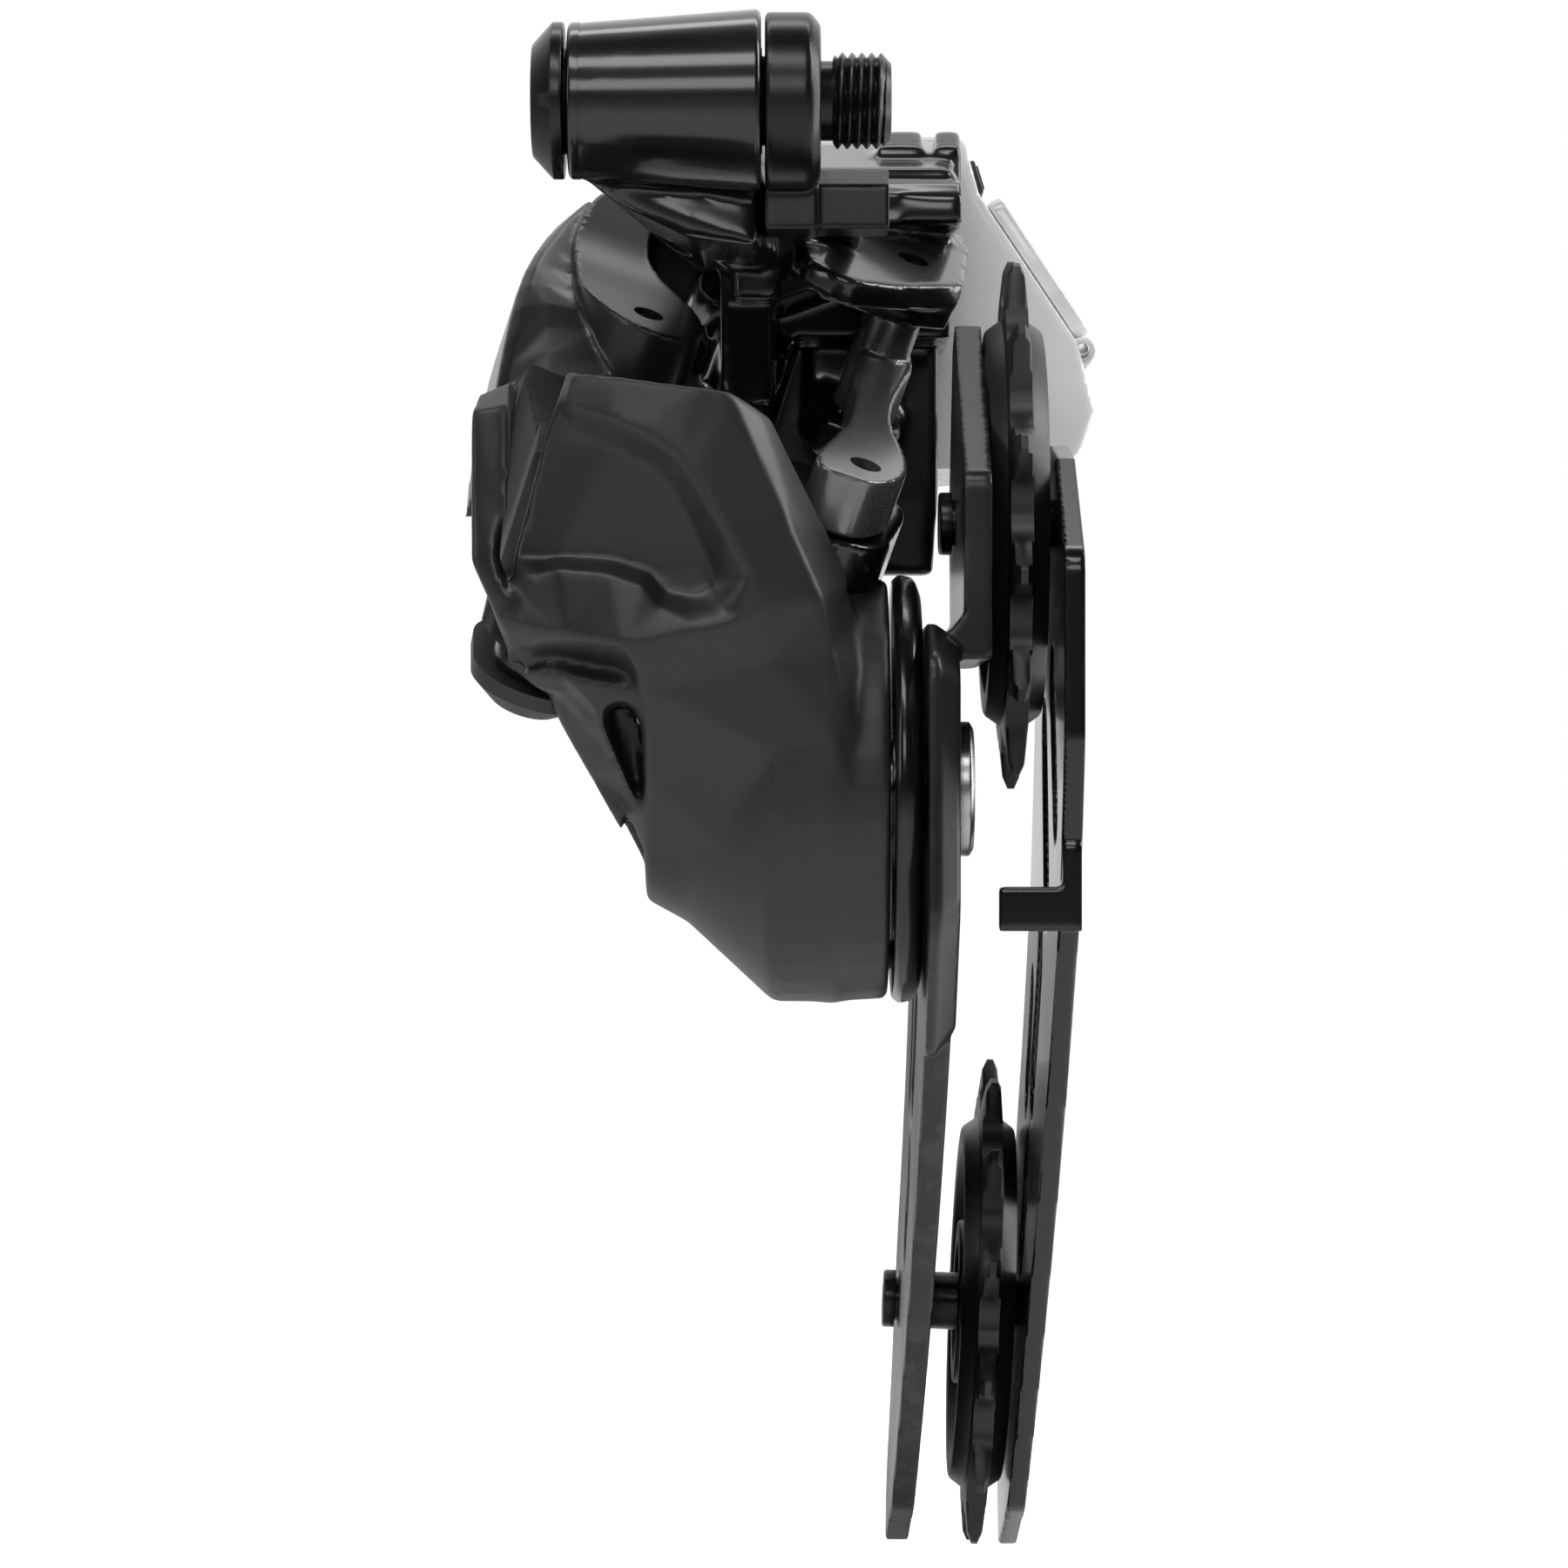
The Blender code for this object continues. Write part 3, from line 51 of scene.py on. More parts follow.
# Cage pivot and cage, seen along X as (rearward, up)
P_CENTRE = (0, -70.5)
P_AXLE_R = 5
GUIDE_CENTRE = (13.5, -42.6)
TENSION_CENTRE = (62, -129.8)
GUIDE_X = 20.25
TENSION_X = 18.95
PULLEY_TEETH = 13
CHAIN_PITCH = 12.7
PULLEY_WIDTH = 5.9
PULLEY_BORE_R = 6.95
SLEEVE_R = 3.3
BOLT_M5_R = 2.5
OUTER_PLATE_X = (14.2, 17)
OUTER_BOSS_X = (10.4, 13.6)
INNER_PLATE_X = (23.8, 25.9)
CAGE_BOW = 3.66e-4

# Camera: level, in front of the bicycle, looking rearward
CAMERA_AT = (-3.75, -491, -70)
CAMERA_LENS = 110
FLOOR_HEIGHT = -162


# ------------------------------------------------------------------ shape helpers


def placed(origin, axis, towards=(0, 1, 0)):
    """Matrix whose local Z is the axis and whose local X leans to the given direction."""
    up = Vector(axis).normalized()
    side = Vector(towards) - up * up.dot(Vector(towards))
    side.normalize()
    return Matrix.Translation(Vector(origin)) @ Matrix((side, up.cross(side), up)).transposed().to_4x4()


def along_x(y, z, x=0):
    """Local Z along world X, local X rearward, local Y up."""
    return placed((x, y, z), (1, 0, 0), (0, 1, 0))


def link_point(inboard, rearward, height):
    """A point in the links' frame: along their plane from the outer upper pin, then up the pins."""
    side = Vector((PIN_UP.z, 0, -PIN_UP.x)).normalized()
    back = PIN_UP.cross(side)
    return PIN_OUT_TOP + side * inboard + back * rearward + PIN_UP * height


def link_frame(inboard=0, rearward=0, height=0):
    side = Vector((PIN_UP.z, 0, -PIN_UP.x)).normalized()
    return placed(link_point(inboard, rearward, height), PIN_UP, side)


def polar(radius, turn, height=0):
    return Vector((radius * math.cos(turn), radius * math.sin(turn), height))


def arc_at(before, here, after, radius, steps):
    """The points of a rounded corner."""
    back = (Vector(before) - here).normalized()
    ahead = (Vector(after) - here).normalized()
    half = 0.5 * back.angle(ahead)
    centre = here + (back + ahead).normalized() * radius / math.sin(half)
    start = here + back * radius / math.tan(half) - centre
    sweep = start.angle_signed(here + ahead * radius / math.tan(half) - centre)
    points = []
    for k in range(steps + 1):
        turn = -sweep * k / steps
        arm = Vector((start.x * math.cos(turn) - start.y * math.sin(turn), start.x * math.sin(turn)
                      + start.y * math.cos(turn)))
        points.append(tuple(centre + arm))
    return points


def rounded(corners, steps=6, closed=True):
    """A line or outline through (x, y, radius) corners, each rounded by an arc."""
    line = []
    count = len(corners)
    for i, corner in enumerate(corners):
        x, y = corner[:2]
        radius = corner[2] if len(corner) > 2 else 0
        ends = not closed and i in (0, count - 1)
        if radius <= 0 or ends:
            line.append((x, y))
            continue
        line += arc_at(corners[i - 1][:2], Vector((x, y)), corners[(i + 1) % count][:2], radius, steps)
    return line


def between(a, b, c, d, t):
    """A point between b and c on the smooth curve through all four (Catmull-Rom)."""
    return 0.5 * (2 * b + (c - a) * t + (2 * a - 5 * b + 4 * c - d) * t * t
                  + (3 * b - a - 3 * c + d) * t ** 3)


def flowing(points, steps=6):
    """A smooth closed outline through the points."""
    count = len(points)
    line = []
    for i in range(count):
        near = [Vector(points[(i + k) % count]) for k in (-1, 0, 1, 2)]
        line += [tuple(between(*near, k / steps)) for k in range(steps)]
    return line


def smooth_line(points, t):
    """The point a fraction t along a smooth open curve through the points."""
    last = len(points) - 1
    spot = min(t * last, last - 0.0001)
    i = int(spot)
    near = [Vector(points[min(max(i + k, 0), last)]) for k in (-1, 0, 1, 2)]
    return between(*near, spot - i)


def slot_outline(start, end, radius, steps=12):
    """A long hole with round ends, between two centres."""
    run = Vector(end) - Vector(start)
    heading = math.atan2(run.y, run.x)
    outline = []
    for centre, first in ((end, heading - math.pi / 2), (start, heading + math.pi / 2)):
        for k in range(steps + 1):
            turn = first + math.pi * k / steps
            outline.append((centre[0] + radius * math.cos(turn), centre[1] + radius * math.sin(turn)))
    return outline


def block(low, high):
    """The eight corners of a box."""
    return [Vector((x, y, z)) for x in (low[0], high[0]) for y in (low[1], high[1])
            for z in (low[2], high[2])]


def skin_rings(bm, rings):
    """Joins neighbouring rings of equal length with quads."""
    for low, high in zip(rings, rings[1:]):
        for k in range(len(low)):
            j = (k + 1) % len(low)
            bm.faces.new([low[k], low[j], high[j], high[k]])


def turned(bm, profile, where, segments=72, closed=False):
    """Turns (along, radius) points about local Z. A closed profile makes a ring with a bore."""
    rings = []
    for along, radius in profile:
        if radius < 1e-6:
            rings.append([bm.verts.new(where @ Vector((0, 0, along)))])
            continue
        turn = [2 * math.pi * i / segments for i in range(segments)]
        rings.append([bm.verts.new(where @ polar(radius, t, along)) for t in turn])
    pairs = list(zip(rings, rings[1:]))
    if closed:
        pairs.append((rings[-1], rings[0]))
    for low, high in pairs:
        for i in range(segments):
            j = (i + 1) % segments
            corners = [low[i % len(low)], low[j % len(low)], high[j % len(high)], high[i % len(high)]]
            bm.faces.new(list(dict.fromkeys(corners)))
    if not closed:
        for ring in (rings[0], rings[-1]):
            if len(ring) > 1:
                bm.faces.new(ring)


def rod(bm, where, low, high, radius, segments=48, chamfer=0):
    if chamfer:
        corners = [(low, 0), (low, radius, chamfer), (high, radius, chamfer), (high, 0)]
        turned(bm, rounded(corners, 3, closed=False), where, segments)
    else:
        turned(bm, [(low, radius), (high, radius)], where, segments)


def ring(bm, where, low, high, inner, outer, edge=0.25, segments=72):
    """A tube with rounded edges."""
    corners = [(low, inner, edge), (low, outer, edge), (high, outer, edge), (high, inner, edge)]
    turned(bm, rounded(corners, 3), where, segments, closed=True)


def prism(bm, outline, where, low, high):
    """Extrudes an outline in local XY from low to high along local Z."""
    bottom = [bm.verts.new(where @ Vector((x, y, low))) for x, y in outline]
    top = [bm.verts.new(where @ Vector((x, y, high))) for x, y in outline]
    bm.faces.new(bottom)
    bm.faces.new(top)
    count = len(outline)
    for i in range(count):
        j = (i + 1) % count
        bm.faces.new([bottom[i], bottom[j], top[j], top[i]])


def hull(bm, points):
    """Adds the convex hull of the points."""
    verts = [bm.verts.new(point) for point in points]
    made = bmesh.ops.convex_hull(bm, input=verts)
    spare = [v for v in made["geom_interior"] if isinstance(v, bmesh.types.BMVert)]
    bmesh.ops.delete(bm, geom=spare, context="VERTS")


def relief(bm, lines, border, depth=0, flat_y=None):
    """A creased skin across Y: its lines of (x, y, z) points are the creases, and the border closes it.

    The skin is depth thick, or it fills the space up to a flat face at Y = flat_y.
    """
    spots, order = [], {}

    def spot(point):
        key = (round(point[0], 2), round(point[2], 2))
        if key not in order:
            order[key] = len(spots)
            spots.append(Vector(point))
        return order[key]

    edges = []
    for line in [*lines, [*border, border[0]]]:
        chain = [spot(point) for point in line]
        edges += list(zip(chain, chain[1:]))
    flat, _, faces, origins, *_ = delaunay_2d_cdt([Vector((p.x, p.z)) for p in spots], edges, [], 1, 1e-4)
    fronts, backs = [], []
    for at, origin in zip(flat, origins):
        near = spots[origin[0]] if origin else min(spots, key=lambda p: (Vector((p.x, p.z)) - at).length)
        fronts.append(bm.verts.new((at.x, near.y, at.y)))
        backs.append(bm.verts.new((at.x, near.y + depth if flat_y is None else flat_y, at.y)))
    sides = {}
    for face in faces:
        bm.faces.new([fronts[i] for i in face])
        bm.faces.new([backs[i] for i in reversed(face)])
        for i, j in zip(face, [*face[1:], face[0]]):
            sides.setdefault(tuple(sorted((i, j))), []).append((i, j))
    for used in sides.values():
        if len(used) == 1:
            i, j = used[0]
            bm.faces.new([fronts[j], fronts[i], backs[i], backs[j]])


def bowed(point):
    """The cage below its pivot leans outboard along a parabola."""
    below = max(0, P_CENTRE[1] - point.z)
    return Vector((point.x - CAGE_BOW * below * below, point.y, point.z))


def bow(bm, spacing=3, lowest=-160):
    """Cuts a plate across at even heights and shifts it onto the cage's curve."""
    height = P_CENTRE[1]
    while height > lowest:
        geometry = bm.verts[:] + bm.edges[:] + bm.faces[:]
        bmesh.ops.bisect_plane(bm, geom=geometry, dist=1e-4, plane_co=(0, 0, height), plane_no=(0, 0, 1))
        height -= spacing
    for vert in bm.verts:
        vert.co = bowed(vert.co)


# ------------------------------------------------------------------ object helpers


def mesh_object(name, bm):
    """An object in metres from a bmesh in millimetres."""
    bmesh.ops.recalc_face_normals(bm, faces=bm.faces)
    bmesh.ops.scale(bm, vec=(MM, MM, MM), verts=bm.verts)
    mesh = bpy.data.meshes.new(name)
    bm.to_mesh(mesh)
    bm.free()
    made = bpy.data.objects.new(name, mesh)
    bpy.context.scene.collection.objects.link(made)
    return made


def shape(name, build):
    bm = bmesh.new()
    build(bm)
    return mesh_object(name, bm)


def cad_copy(name, node):
    """A loose copy of a CAD node's mesh, welded."""
    bm = bmesh.new()
    bm.from_mesh(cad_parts[node].data)
    bmesh.ops.remove_doubles(bm, verts=bm.verts, dist=1e-6)
    bmesh.ops.scale(bm, vec=(1 / MM,) * 3, verts=bm.verts)
    return mesh_object(name, bm)


def apply_all(target):
    """Turns the evaluated mesh into the object's own mesh."""
    graph = bpy.context.evaluated_depsgraph_get()
    mesh = bpy.data.meshes.new_from_object(target.evaluated_get(graph))
    target.modifiers.clear()
    target.data = mesh
    return target


def boolean(target, build, operation):
    tool = shape("tool", build)
    step = target.modifiers.new(operation, "BOOLEAN")
    step.operation = operation
    step.solver = "EXACT"
    step.object = tool
    apply_all(target)
    bpy.data.objects.remove(tool, do_unlink=True)


def join(target, build):
    boolean(target, build, "UNION")


def cut(target, build):
    boolean(target, build, "DIFFERENCE")


def drill(target, where, low, high, radius, segments=48):
    cut(target, lambda bm: rod(bm, where, low, high, radius, segments))


def lathe(name, line, where, segments, steps=4, closed=False):
    """A turned piece, from (along, radius, rounding) corners."""
    return shape(name, lambda bm: turned(bm, rounded(line, steps, closed), where, segments, closed))


def soften(target, width, segments=3, angle=35):
    """Rounds the edges of a clean mesh."""
    step = target.modifiers.new("edges", "BEVEL")
    step.width = width * MM
    step.segments = segments
    step.limit_method = "ANGLE"
    step.angle_limit = math.radians(angle)
    return apply_all(target)


def fuse(target, others=(), voxel=0.4, passes=6):
    """Melts overlapping solids into one casting with filleted edges."""
    if others:
        bm = bmesh.new()
        for item in [target, *others]:
            bm.from_mesh(item.data)
        bm.to_mesh(target.data)
        bm.free()
        for item in others:
            bpy.data.objects.remove(item, do_unlink=True)
    step = target.modifiers.new("remesh", "REMESH")
    step.mode = "VOXEL"
    step.voxel_size = voxel * MM
    step = target.modifiers.new("smooth", "SMOOTH")
    step.factor = 0.5
    step.iterations = passes
    return apply_all(target)


def place(target, body, finish, *nodes, slot=None, angle=38):
    """Finishes a piece: its material, its body, and the CAD nodes that it stands for."""
    target.data.shade_smooth()
    target.data.set_sharp_from_angle(angle=math.radians(angle))
    target.data.materials.clear()
    target.data.materials.append(FINISHES[finish])
    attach(target, body)
    if nodes:
        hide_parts(*nodes)


# ---------------------------------------------------------------------- materials


class Graph:
    """A material's node tree, with short calls for its nodes and links."""

    def __init__(self, name):
        self.material = bpy.data.materials.new(name)
        self.material.use_nodes = True
        self.tree = self.material.node_tree
        self.shader = self.tree.nodes["Principled BSDF"]
        self.coords = self.add("ShaderNodeTexCoord").outputs["Object"]

    def add(self, kind, **settings):
        node = self.tree.nodes.new(kind)
        for key, value in settings.items():
            setattr(node, key, value)
        return node

    def link(self, source, target):
        self.tree.links.new(source, target)

    def noise(self, scale, detail=4, roughness=0.55, stretch=None):
        node = self.add("ShaderNodeTexNoise")
        node.inputs["Scale"].default_value = scale
        node.inputs["Detail"].default_value = detail
        node.inputs["Roughness"].default_value = roughness
        source = self.coords
        if stretch:
            mapping = self.add("ShaderNodeMapping")
            mapping.inputs["Scale"].default_value = stretch
            self.link(source, mapping.inputs["Vector"])
            source = mapping.outputs["Vector"]
        self.link(source, node.inputs["Vector"])
        return node.outputs["Fac"]

    def ramp(self, source, low, high, start=0, end=1):
        node = self.add("ShaderNodeMapRange", clamp=True)
        node.inputs["From Min"].default_value = start
        node.inputs["From Max"].default_value = end
        node.inputs["To Min"].default_value = low
        node.inputs["To Max"].default_value = high
        self.link(source, node.inputs["Value"])
        return node.outputs["Result"]

    def math(self, operation, first, second):
        node = self.add("ShaderNodeMath", operation=operation)
        for socket, value in zip(node.inputs, (first, second)):
            if isinstance(value, (int, float)):
                socket.default_value = value
            else:
                self.link(value, socket)
        return node.outputs["Value"]

    def mix(self, factor, first, second):
        node = self.add("ShaderNodeMix", data_type="RGBA")
        self.link(factor, node.inputs["Factor"])
        for socket, value in ((node.inputs[6], first), (node.inputs[7], second)):
            if isinstance(value, tuple):
                socket.default_value = (*value, 1)
            else:
                self.link(value, socket)
        return node.outputs[2]

    def edges(self, low=0.51, high=0.56):
        """1 on convex edges and 0 on flats, broken up by noise: where a coating wears first."""
        pointed = self.add("ShaderNodeNewGeometry").outputs["Pointiness"]
        worn = self.ramp(pointed, 0, 1, low, high)
        return self.math("MULTIPLY", worn, self.ramp(self.noise(260), 0, 1, 0.42, 0.62))


def coating(name, colour, roughness, *, metallic=0, coat=0, coat_roughness=0.05, specular=0.5, mottle=0.25,
            grain=5200, depth=0.06, flakes=0, wear=0.25, worn=(0.12, 0.12, 0.125), brushed=None):
    """A painted, anodised or moulded surface: mottled colour, fine grain, flakes and rubbed edges."""
    graph = Graph(name)
    shader = graph.shader
    cloud = graph.noise(95, 5)
    dark = tuple(c * (1 - mottle) for c in colour)
    light = tuple(c * (1 + mottle) for c in colour)
    base = graph.mix(graph.ramp(cloud, 0, 1, 0.3, 0.7), dark, light)
    rubbed = graph.edges()
    base = graph.mix(graph.math("MULTIPLY", rubbed, wear), base, worn)
    if flakes:
        cells = graph.add("ShaderNodeTexVoronoi")
        cells.inputs["Scale"].default_value = 9000
        graph.link(graph.coords, cells.inputs["Vector"])
        parts = graph.add("ShaderNodeSeparateColor")
        graph.link(cells.outputs["Color"], parts.inputs["Color"])
        sparkle = graph.ramp(parts.outputs["Red"], 0, flakes, 0.90, 1)
        base = graph.mix(sparkle, base, (0.10, 0.11, 0.14))
    graph.link(base, shader.inputs["Base Color"])
    fine = graph.noise(grain, 3, stretch=brushed)
    uneven = graph.ramp(graph.math("ADD", graph.noise(38, 3), graph.math("MULTIPLY", fine, 0.4)),
                        roughness * 0.8, roughness * 1.25, 0.45, 0.95)
    graph.link(graph.math("ADD", uneven, graph.math("MULTIPLY", rubbed, 0.06)), shader.inputs["Roughness"])
    bump = graph.add("ShaderNodeBump")
    bump.inputs["Strength"].default_value = depth
    bump.inputs["Distance"].default_value = 0.0001
    graph.link(fine, bump.inputs["Height"])
    graph.link(bump.outputs["Normal"], shader.inputs["Normal"])
    shader.inputs["Metallic"].default_value = metallic
    shader.inputs["Specular IOR Level"].default_value = specular
    shader.inputs["Coat Weight"].default_value = coat
    shader.inputs["Coat Roughness"].default_value = coat_roughness
    return graph.material


def make_finishes():
    return {
        "flake": coating(
            "flake_black_paint", (0.0022, 0.0022, 0.0028), 0.40, coat=1, coat_roughness=0.15,
            specular=0.15, flakes=0.05, depth=0.03, wear=0.10, worn=(0.03, 0.03, 0.032)),
        "gloss": coating(
            "gloss_black_anodised", (0.004, 0.004, 0.0055), 0.24, coat=0.4, coat_roughness=0.10,
            specular=0.3, depth=0.03, wear=0.15, worn=(0.05, 0.05, 0.052)),
        # Painted shade: a darker, duller copy of the outer link's satin flake paint, for the parts of that
        # link that sit in shade
        "link_in_shade": coating(
            "painted_shade_link_paint", (0.004, 0.004, 0.0045), 0.62, specular=0.15, depth=0.06, wear=0.10,
            worn=(0.02, 0.02, 0.02)),
        "link": coating(
            "satin_flake_paint", (0.008, 0.0076, 0.0072), 0.36, coat=0.35, coat_roughness=0.22,
            specular=0.5, metallic=0.25, flakes=0.06, depth=0.03, wear=0.10, worn=(0.05, 0.05, 0.052)),
        "satin": coating(
            "satin_black_anodised", (0.13, 0.13, 0.13), 0.28, metallic=0.6, coat=0.8, coat_roughness=0.15,
            specular=0.8, depth=0.04, wear=0.1),
        "cover": coating(
            "matte_cover_paint", (0.0125, 0.0116, 0.0110), 0.42, depth=0.08, mottle=0.08, wear=0.08,
            worn=(0.05, 0.047, 0.044), specular=0.50),
        "cage": coating(
            "cage_grey_anodised", (0.011, 0.0115, 0.0125), 0.32, metallic=0.25, depth=0.05, wear=0.2),
        "steel": coating(
            "black_oxide_steel", (0.006, 0.006, 0.009), 0.26, metallic=0.35, depth=0.03, wear=0.2),
        "bright": coating(
            "ground_steel", (0.42, 0.42, 0.43), 0.28, metallic=1, depth=0.05, wear=0.1,
            worn=(0.6, 0.6, 0.6), brushed=(0.2, 1, 1)),
        "polymer": coating(
            "black_polymer", (0.008, 0.008, 0.009), 0.40, depth=0.16, grain=3200, wear=0.2,
            worn=(0.04, 0.04, 0.042)),
        "rubber": coating(
            "black_rubber", (0.016, 0.016, 0.016), 0.62, depth=0.28, grain=2600, wear=0.1,
            worn=(0.03, 0.03, 0.03)),
        # Painted reflection: the housing, black gloss plastic, is coloured near white for the white
        # surroundings that its slanted face mirrors at a grazing angle
        "housing": coating(
            "housing_painted_reflection", (0.80, 0.80, 0.81), 0.30, coat=0.6, coat_roughness=0.08, mottle=0.04,
            depth=0.08, grain=3800, wear=0.15),
        "lens": coating("lens_red", (0.30, 0.02, 0.02), 0.12, depth=0.02, wear=0, specular=0.6),
        # Painted reflection: the door on the housing's slanted face is coloured light grey for the white
        # surroundings that face mirrors
        "door": coating(
            "door_panel_painted_reflection", (0.62, 0.62, 0.63), 0.30, coat=0.8, coat_roughness=0.08, depth=0.05,
            wear=0.1),
        "battery": coating("battery_shell", (0.05, 0.05, 0.055), 0.45, depth=0.12, grain=3000, wear=0.1),
        "floor": coating("pale_floor", (0.86, 0.86, 0.86), 0.6, depth=0.02, mottle=0.01, grain=900, wear=0),
    }


# --------------------------------------------------------------- hanger mount looks


def thread(bm, where, low, high, pitch, root, crest, segments=72, per_turn=10):
    """A helical ridged bar with a chamfered tip."""
    count = int((high - low) / pitch * per_turn)
    rings = []
    for i in range(count + 1):
        along = low + (high - low) * i / count
        points = []
        for k in range(segments):
            phase = (along / pitch + k / segments) % 1
            ridge = root + (crest - root) * (1 - abs(2 * phase - 1)) ** 0.8
            radius = min(ridge, root - 0.5 + (high - along) * 1.1, root + (along - low) * 1.6)
            turn = 2 * math.pi * k / segments
            points.append(bm.verts.new(where @ polar(radius, turn, along)))
        rings.append(points)
    skin_rings(bm, rings)
    bm.faces.new(rings[0])
    bm.faces.new(rings[-1])


def make_hanger_mount():
    axis = along_x(0, 0)
    head = [(-29.5, 0), (-29.5, 5.7, 0.4), (-27.4, 8, 0.3), (-26.25, 8, 0.25), (-26.25, 5.45), (-6, 5.45),
            (-6, 4.55), (0, 4.55), (0, 4.05), (1.3, 4.05), (1.3, 0)]
    bolt = lathe("hanger_bolt", head, axis, 96)
    drill(bolt, axis, -30.5, -23.5, 5 / math.sqrt(3), 6)
    soften(bolt, 0.12, 2, 50)
    place(bolt, "hanger_mount", "steel", "b_bolt")
    ridges = shape("hanger_thread", lambda bm: thread(bm, axis, 1.25, 7.2, 1, 4.3, 4.95))
    place(ridges, "hanger_mount", "steel", angle=60)

    disc = [(-5.7, 4.65, 0.2), (-5.7, 9, 0.5), (-1.1, 9, 1), (0, 7.7, 0.5), (0, 4.65, 0.2)]
    plate = lathe("stop_plate_visual", disc, axis, 96, closed=True)

    def tail(bm):
        hull(bm, block((-5.7, 1.5, -12.9), (-0.4, 10.5, -6)) + block((-5.7, 5, -6), (-0.4, 8, -3)))

    def lug(bm):
        hull(bm, block((-3, 3, -12.7), (7.1, 10.8, -8.3)) + block((-3, 5.4, -8.3), (7.1, 10.8, -6.2)))

    fuse(plate, [shape("tail", tail), shape("lug", lug)], 0.22, 5)
    place(plate, "hanger_mount", "steel", "stop_plate")


# ------------------------------------------------------------------- bracket looks


def make_bracket():
    axis = along_x(0, 0)
    casting = cad_copy("bracket_casting", "bracket")
    u, v = UPPER_SPREAD
    under = [(u - 12, v - 25), (u + 12, v - 25), (u + 12, v - 4.5), (u - 12, v - 8)]
    cut(casting, lambda bm: prism(bm, under, link_frame(), 4, WING_TOP + 1))

    def throat(bm):
        """The skin from under the barrel down to the wing."""
        hull(bm, [Vector(p) for p in ((-24, 2, -7), (-6.8, 1, -9), (-6.8, 8, -3), (-22, 8, -3),
                                      (-15.5, 9, -10.8), (-11, 13, -15), (-5.2, 16, -17.5), (-3.5, 26, -20),
                                      (-12, 27, -13), (-3.5, 26, -6))])

    def wing_shell(bm):
        """A thick shell that curls up from the throat and runs inboard over the wing."""
        rim = [(-6.2, 9, -9), (-5, 13, -14.4), (-2.2, 16, -17), (2, 18.5, -17.4), (7, 21, -17.4),
               (14.5, 24, -17.6)]
        crown = [(-6.2, 11, -5), (-4.4, 17, -9.6), (-1.2, 20, -13.2), (2.4, 22, -14.6), (7.2, 24, -15.4),
                 (14.4, 27, -15.8)]
        rows = [[smooth_line(line, k / 15) for line in (rim, crown)] for k in range(16)]
        for a, b in zip(rows, rows[1:]):
            hull(bm, a + b + [p + Vector((0, 6, 1)) for p in a + b])

    def wing(bm):
        outline = rounded([(u - 13, v - 3, 2), (u - 10, v - 13, 3), (u - 5.5, v - 15.8, 3),
                           (u - 0.5, v - 11.8, 5), (u + 6.2, v - 3, 1.5), (u + 5.2, v + 14, 2),
                           (u - 12, v + 14, 2)], 6)
        prism(bm, outline, link_frame(), WING_TOP - 3, WING_TOP)

    def back_wall(bm):
        hull(bm, block((-9, 35.5, -38), (13.2, 40.4, -20)) + block((-4, 36, -47), (12.6, 39.6, -38)))
        hull(bm, block((-18.6, 35.6, -27), (-7, 40, -6)))

    def wedge(bm):
        """A flaked wedge beside the outer link's boss."""
        hull(bm, [link_point(a, b, c) for a, b in ((7.6, 6), (15.5, 9), (15, 19), (6, 21))
                  for c in (-14, -2)] + [link_point(13.5, 0, -13), link_point(15.6, 2, -9)])

    def ridge(bm, at, width):
        hull(bm, [Vector((x, y, z + at)) for x, y, z in ((2, 26, -9.6), (15.4, 27.5, -9.2), (15.4, 34, -8),
                (2, 34, -8), (3, 28 + width, -7.2), (15.2, 29 + width, -6.8), (15.2, 34, -6), (3, 34, -6))])

    def ridges(bm):
        ridge(bm, 0, 1.5)
        ridge(bm, 3.2, 3.5)

    pieces = [shape("part", build) for build in (throat, wing_shell, wing, back_wall, wedge, ridges)]
    fuse(casting, pieces, 0.42, 14)
    drill(casting, link_frame(*UPPER_SPREAD), WING_TOP - 0.9, 30, PIN_R + 0.15, 40)
    drill(casting, axis, -40, -6, 7, 64)
    place(casting, "bracket", "flake", "bracket")

    line = [(-25.8, 6.62, 0.2), (-25.8, 8, 0.5), (-24.6, 8), (-24.6, 7.9), (-6.1, 9.35, 0.6),
            (-6.1, 6.62, 0.2)]
    barrel = lathe("bracket_barrel", line, axis, 160, closed=True)
    place(barrel, "bracket", "flake", "bracket")
    boss = lathe("small_boss", [(-6, 0), (-6, 2.3, 0.2), (0, 2.3, 0.5), (0, 0)],
                 placed((-10.6, 22, -16.6), (0.25, -0.92, 0.3)), 40)
    place(boss, "bracket", "gloss", slot="flake_black")


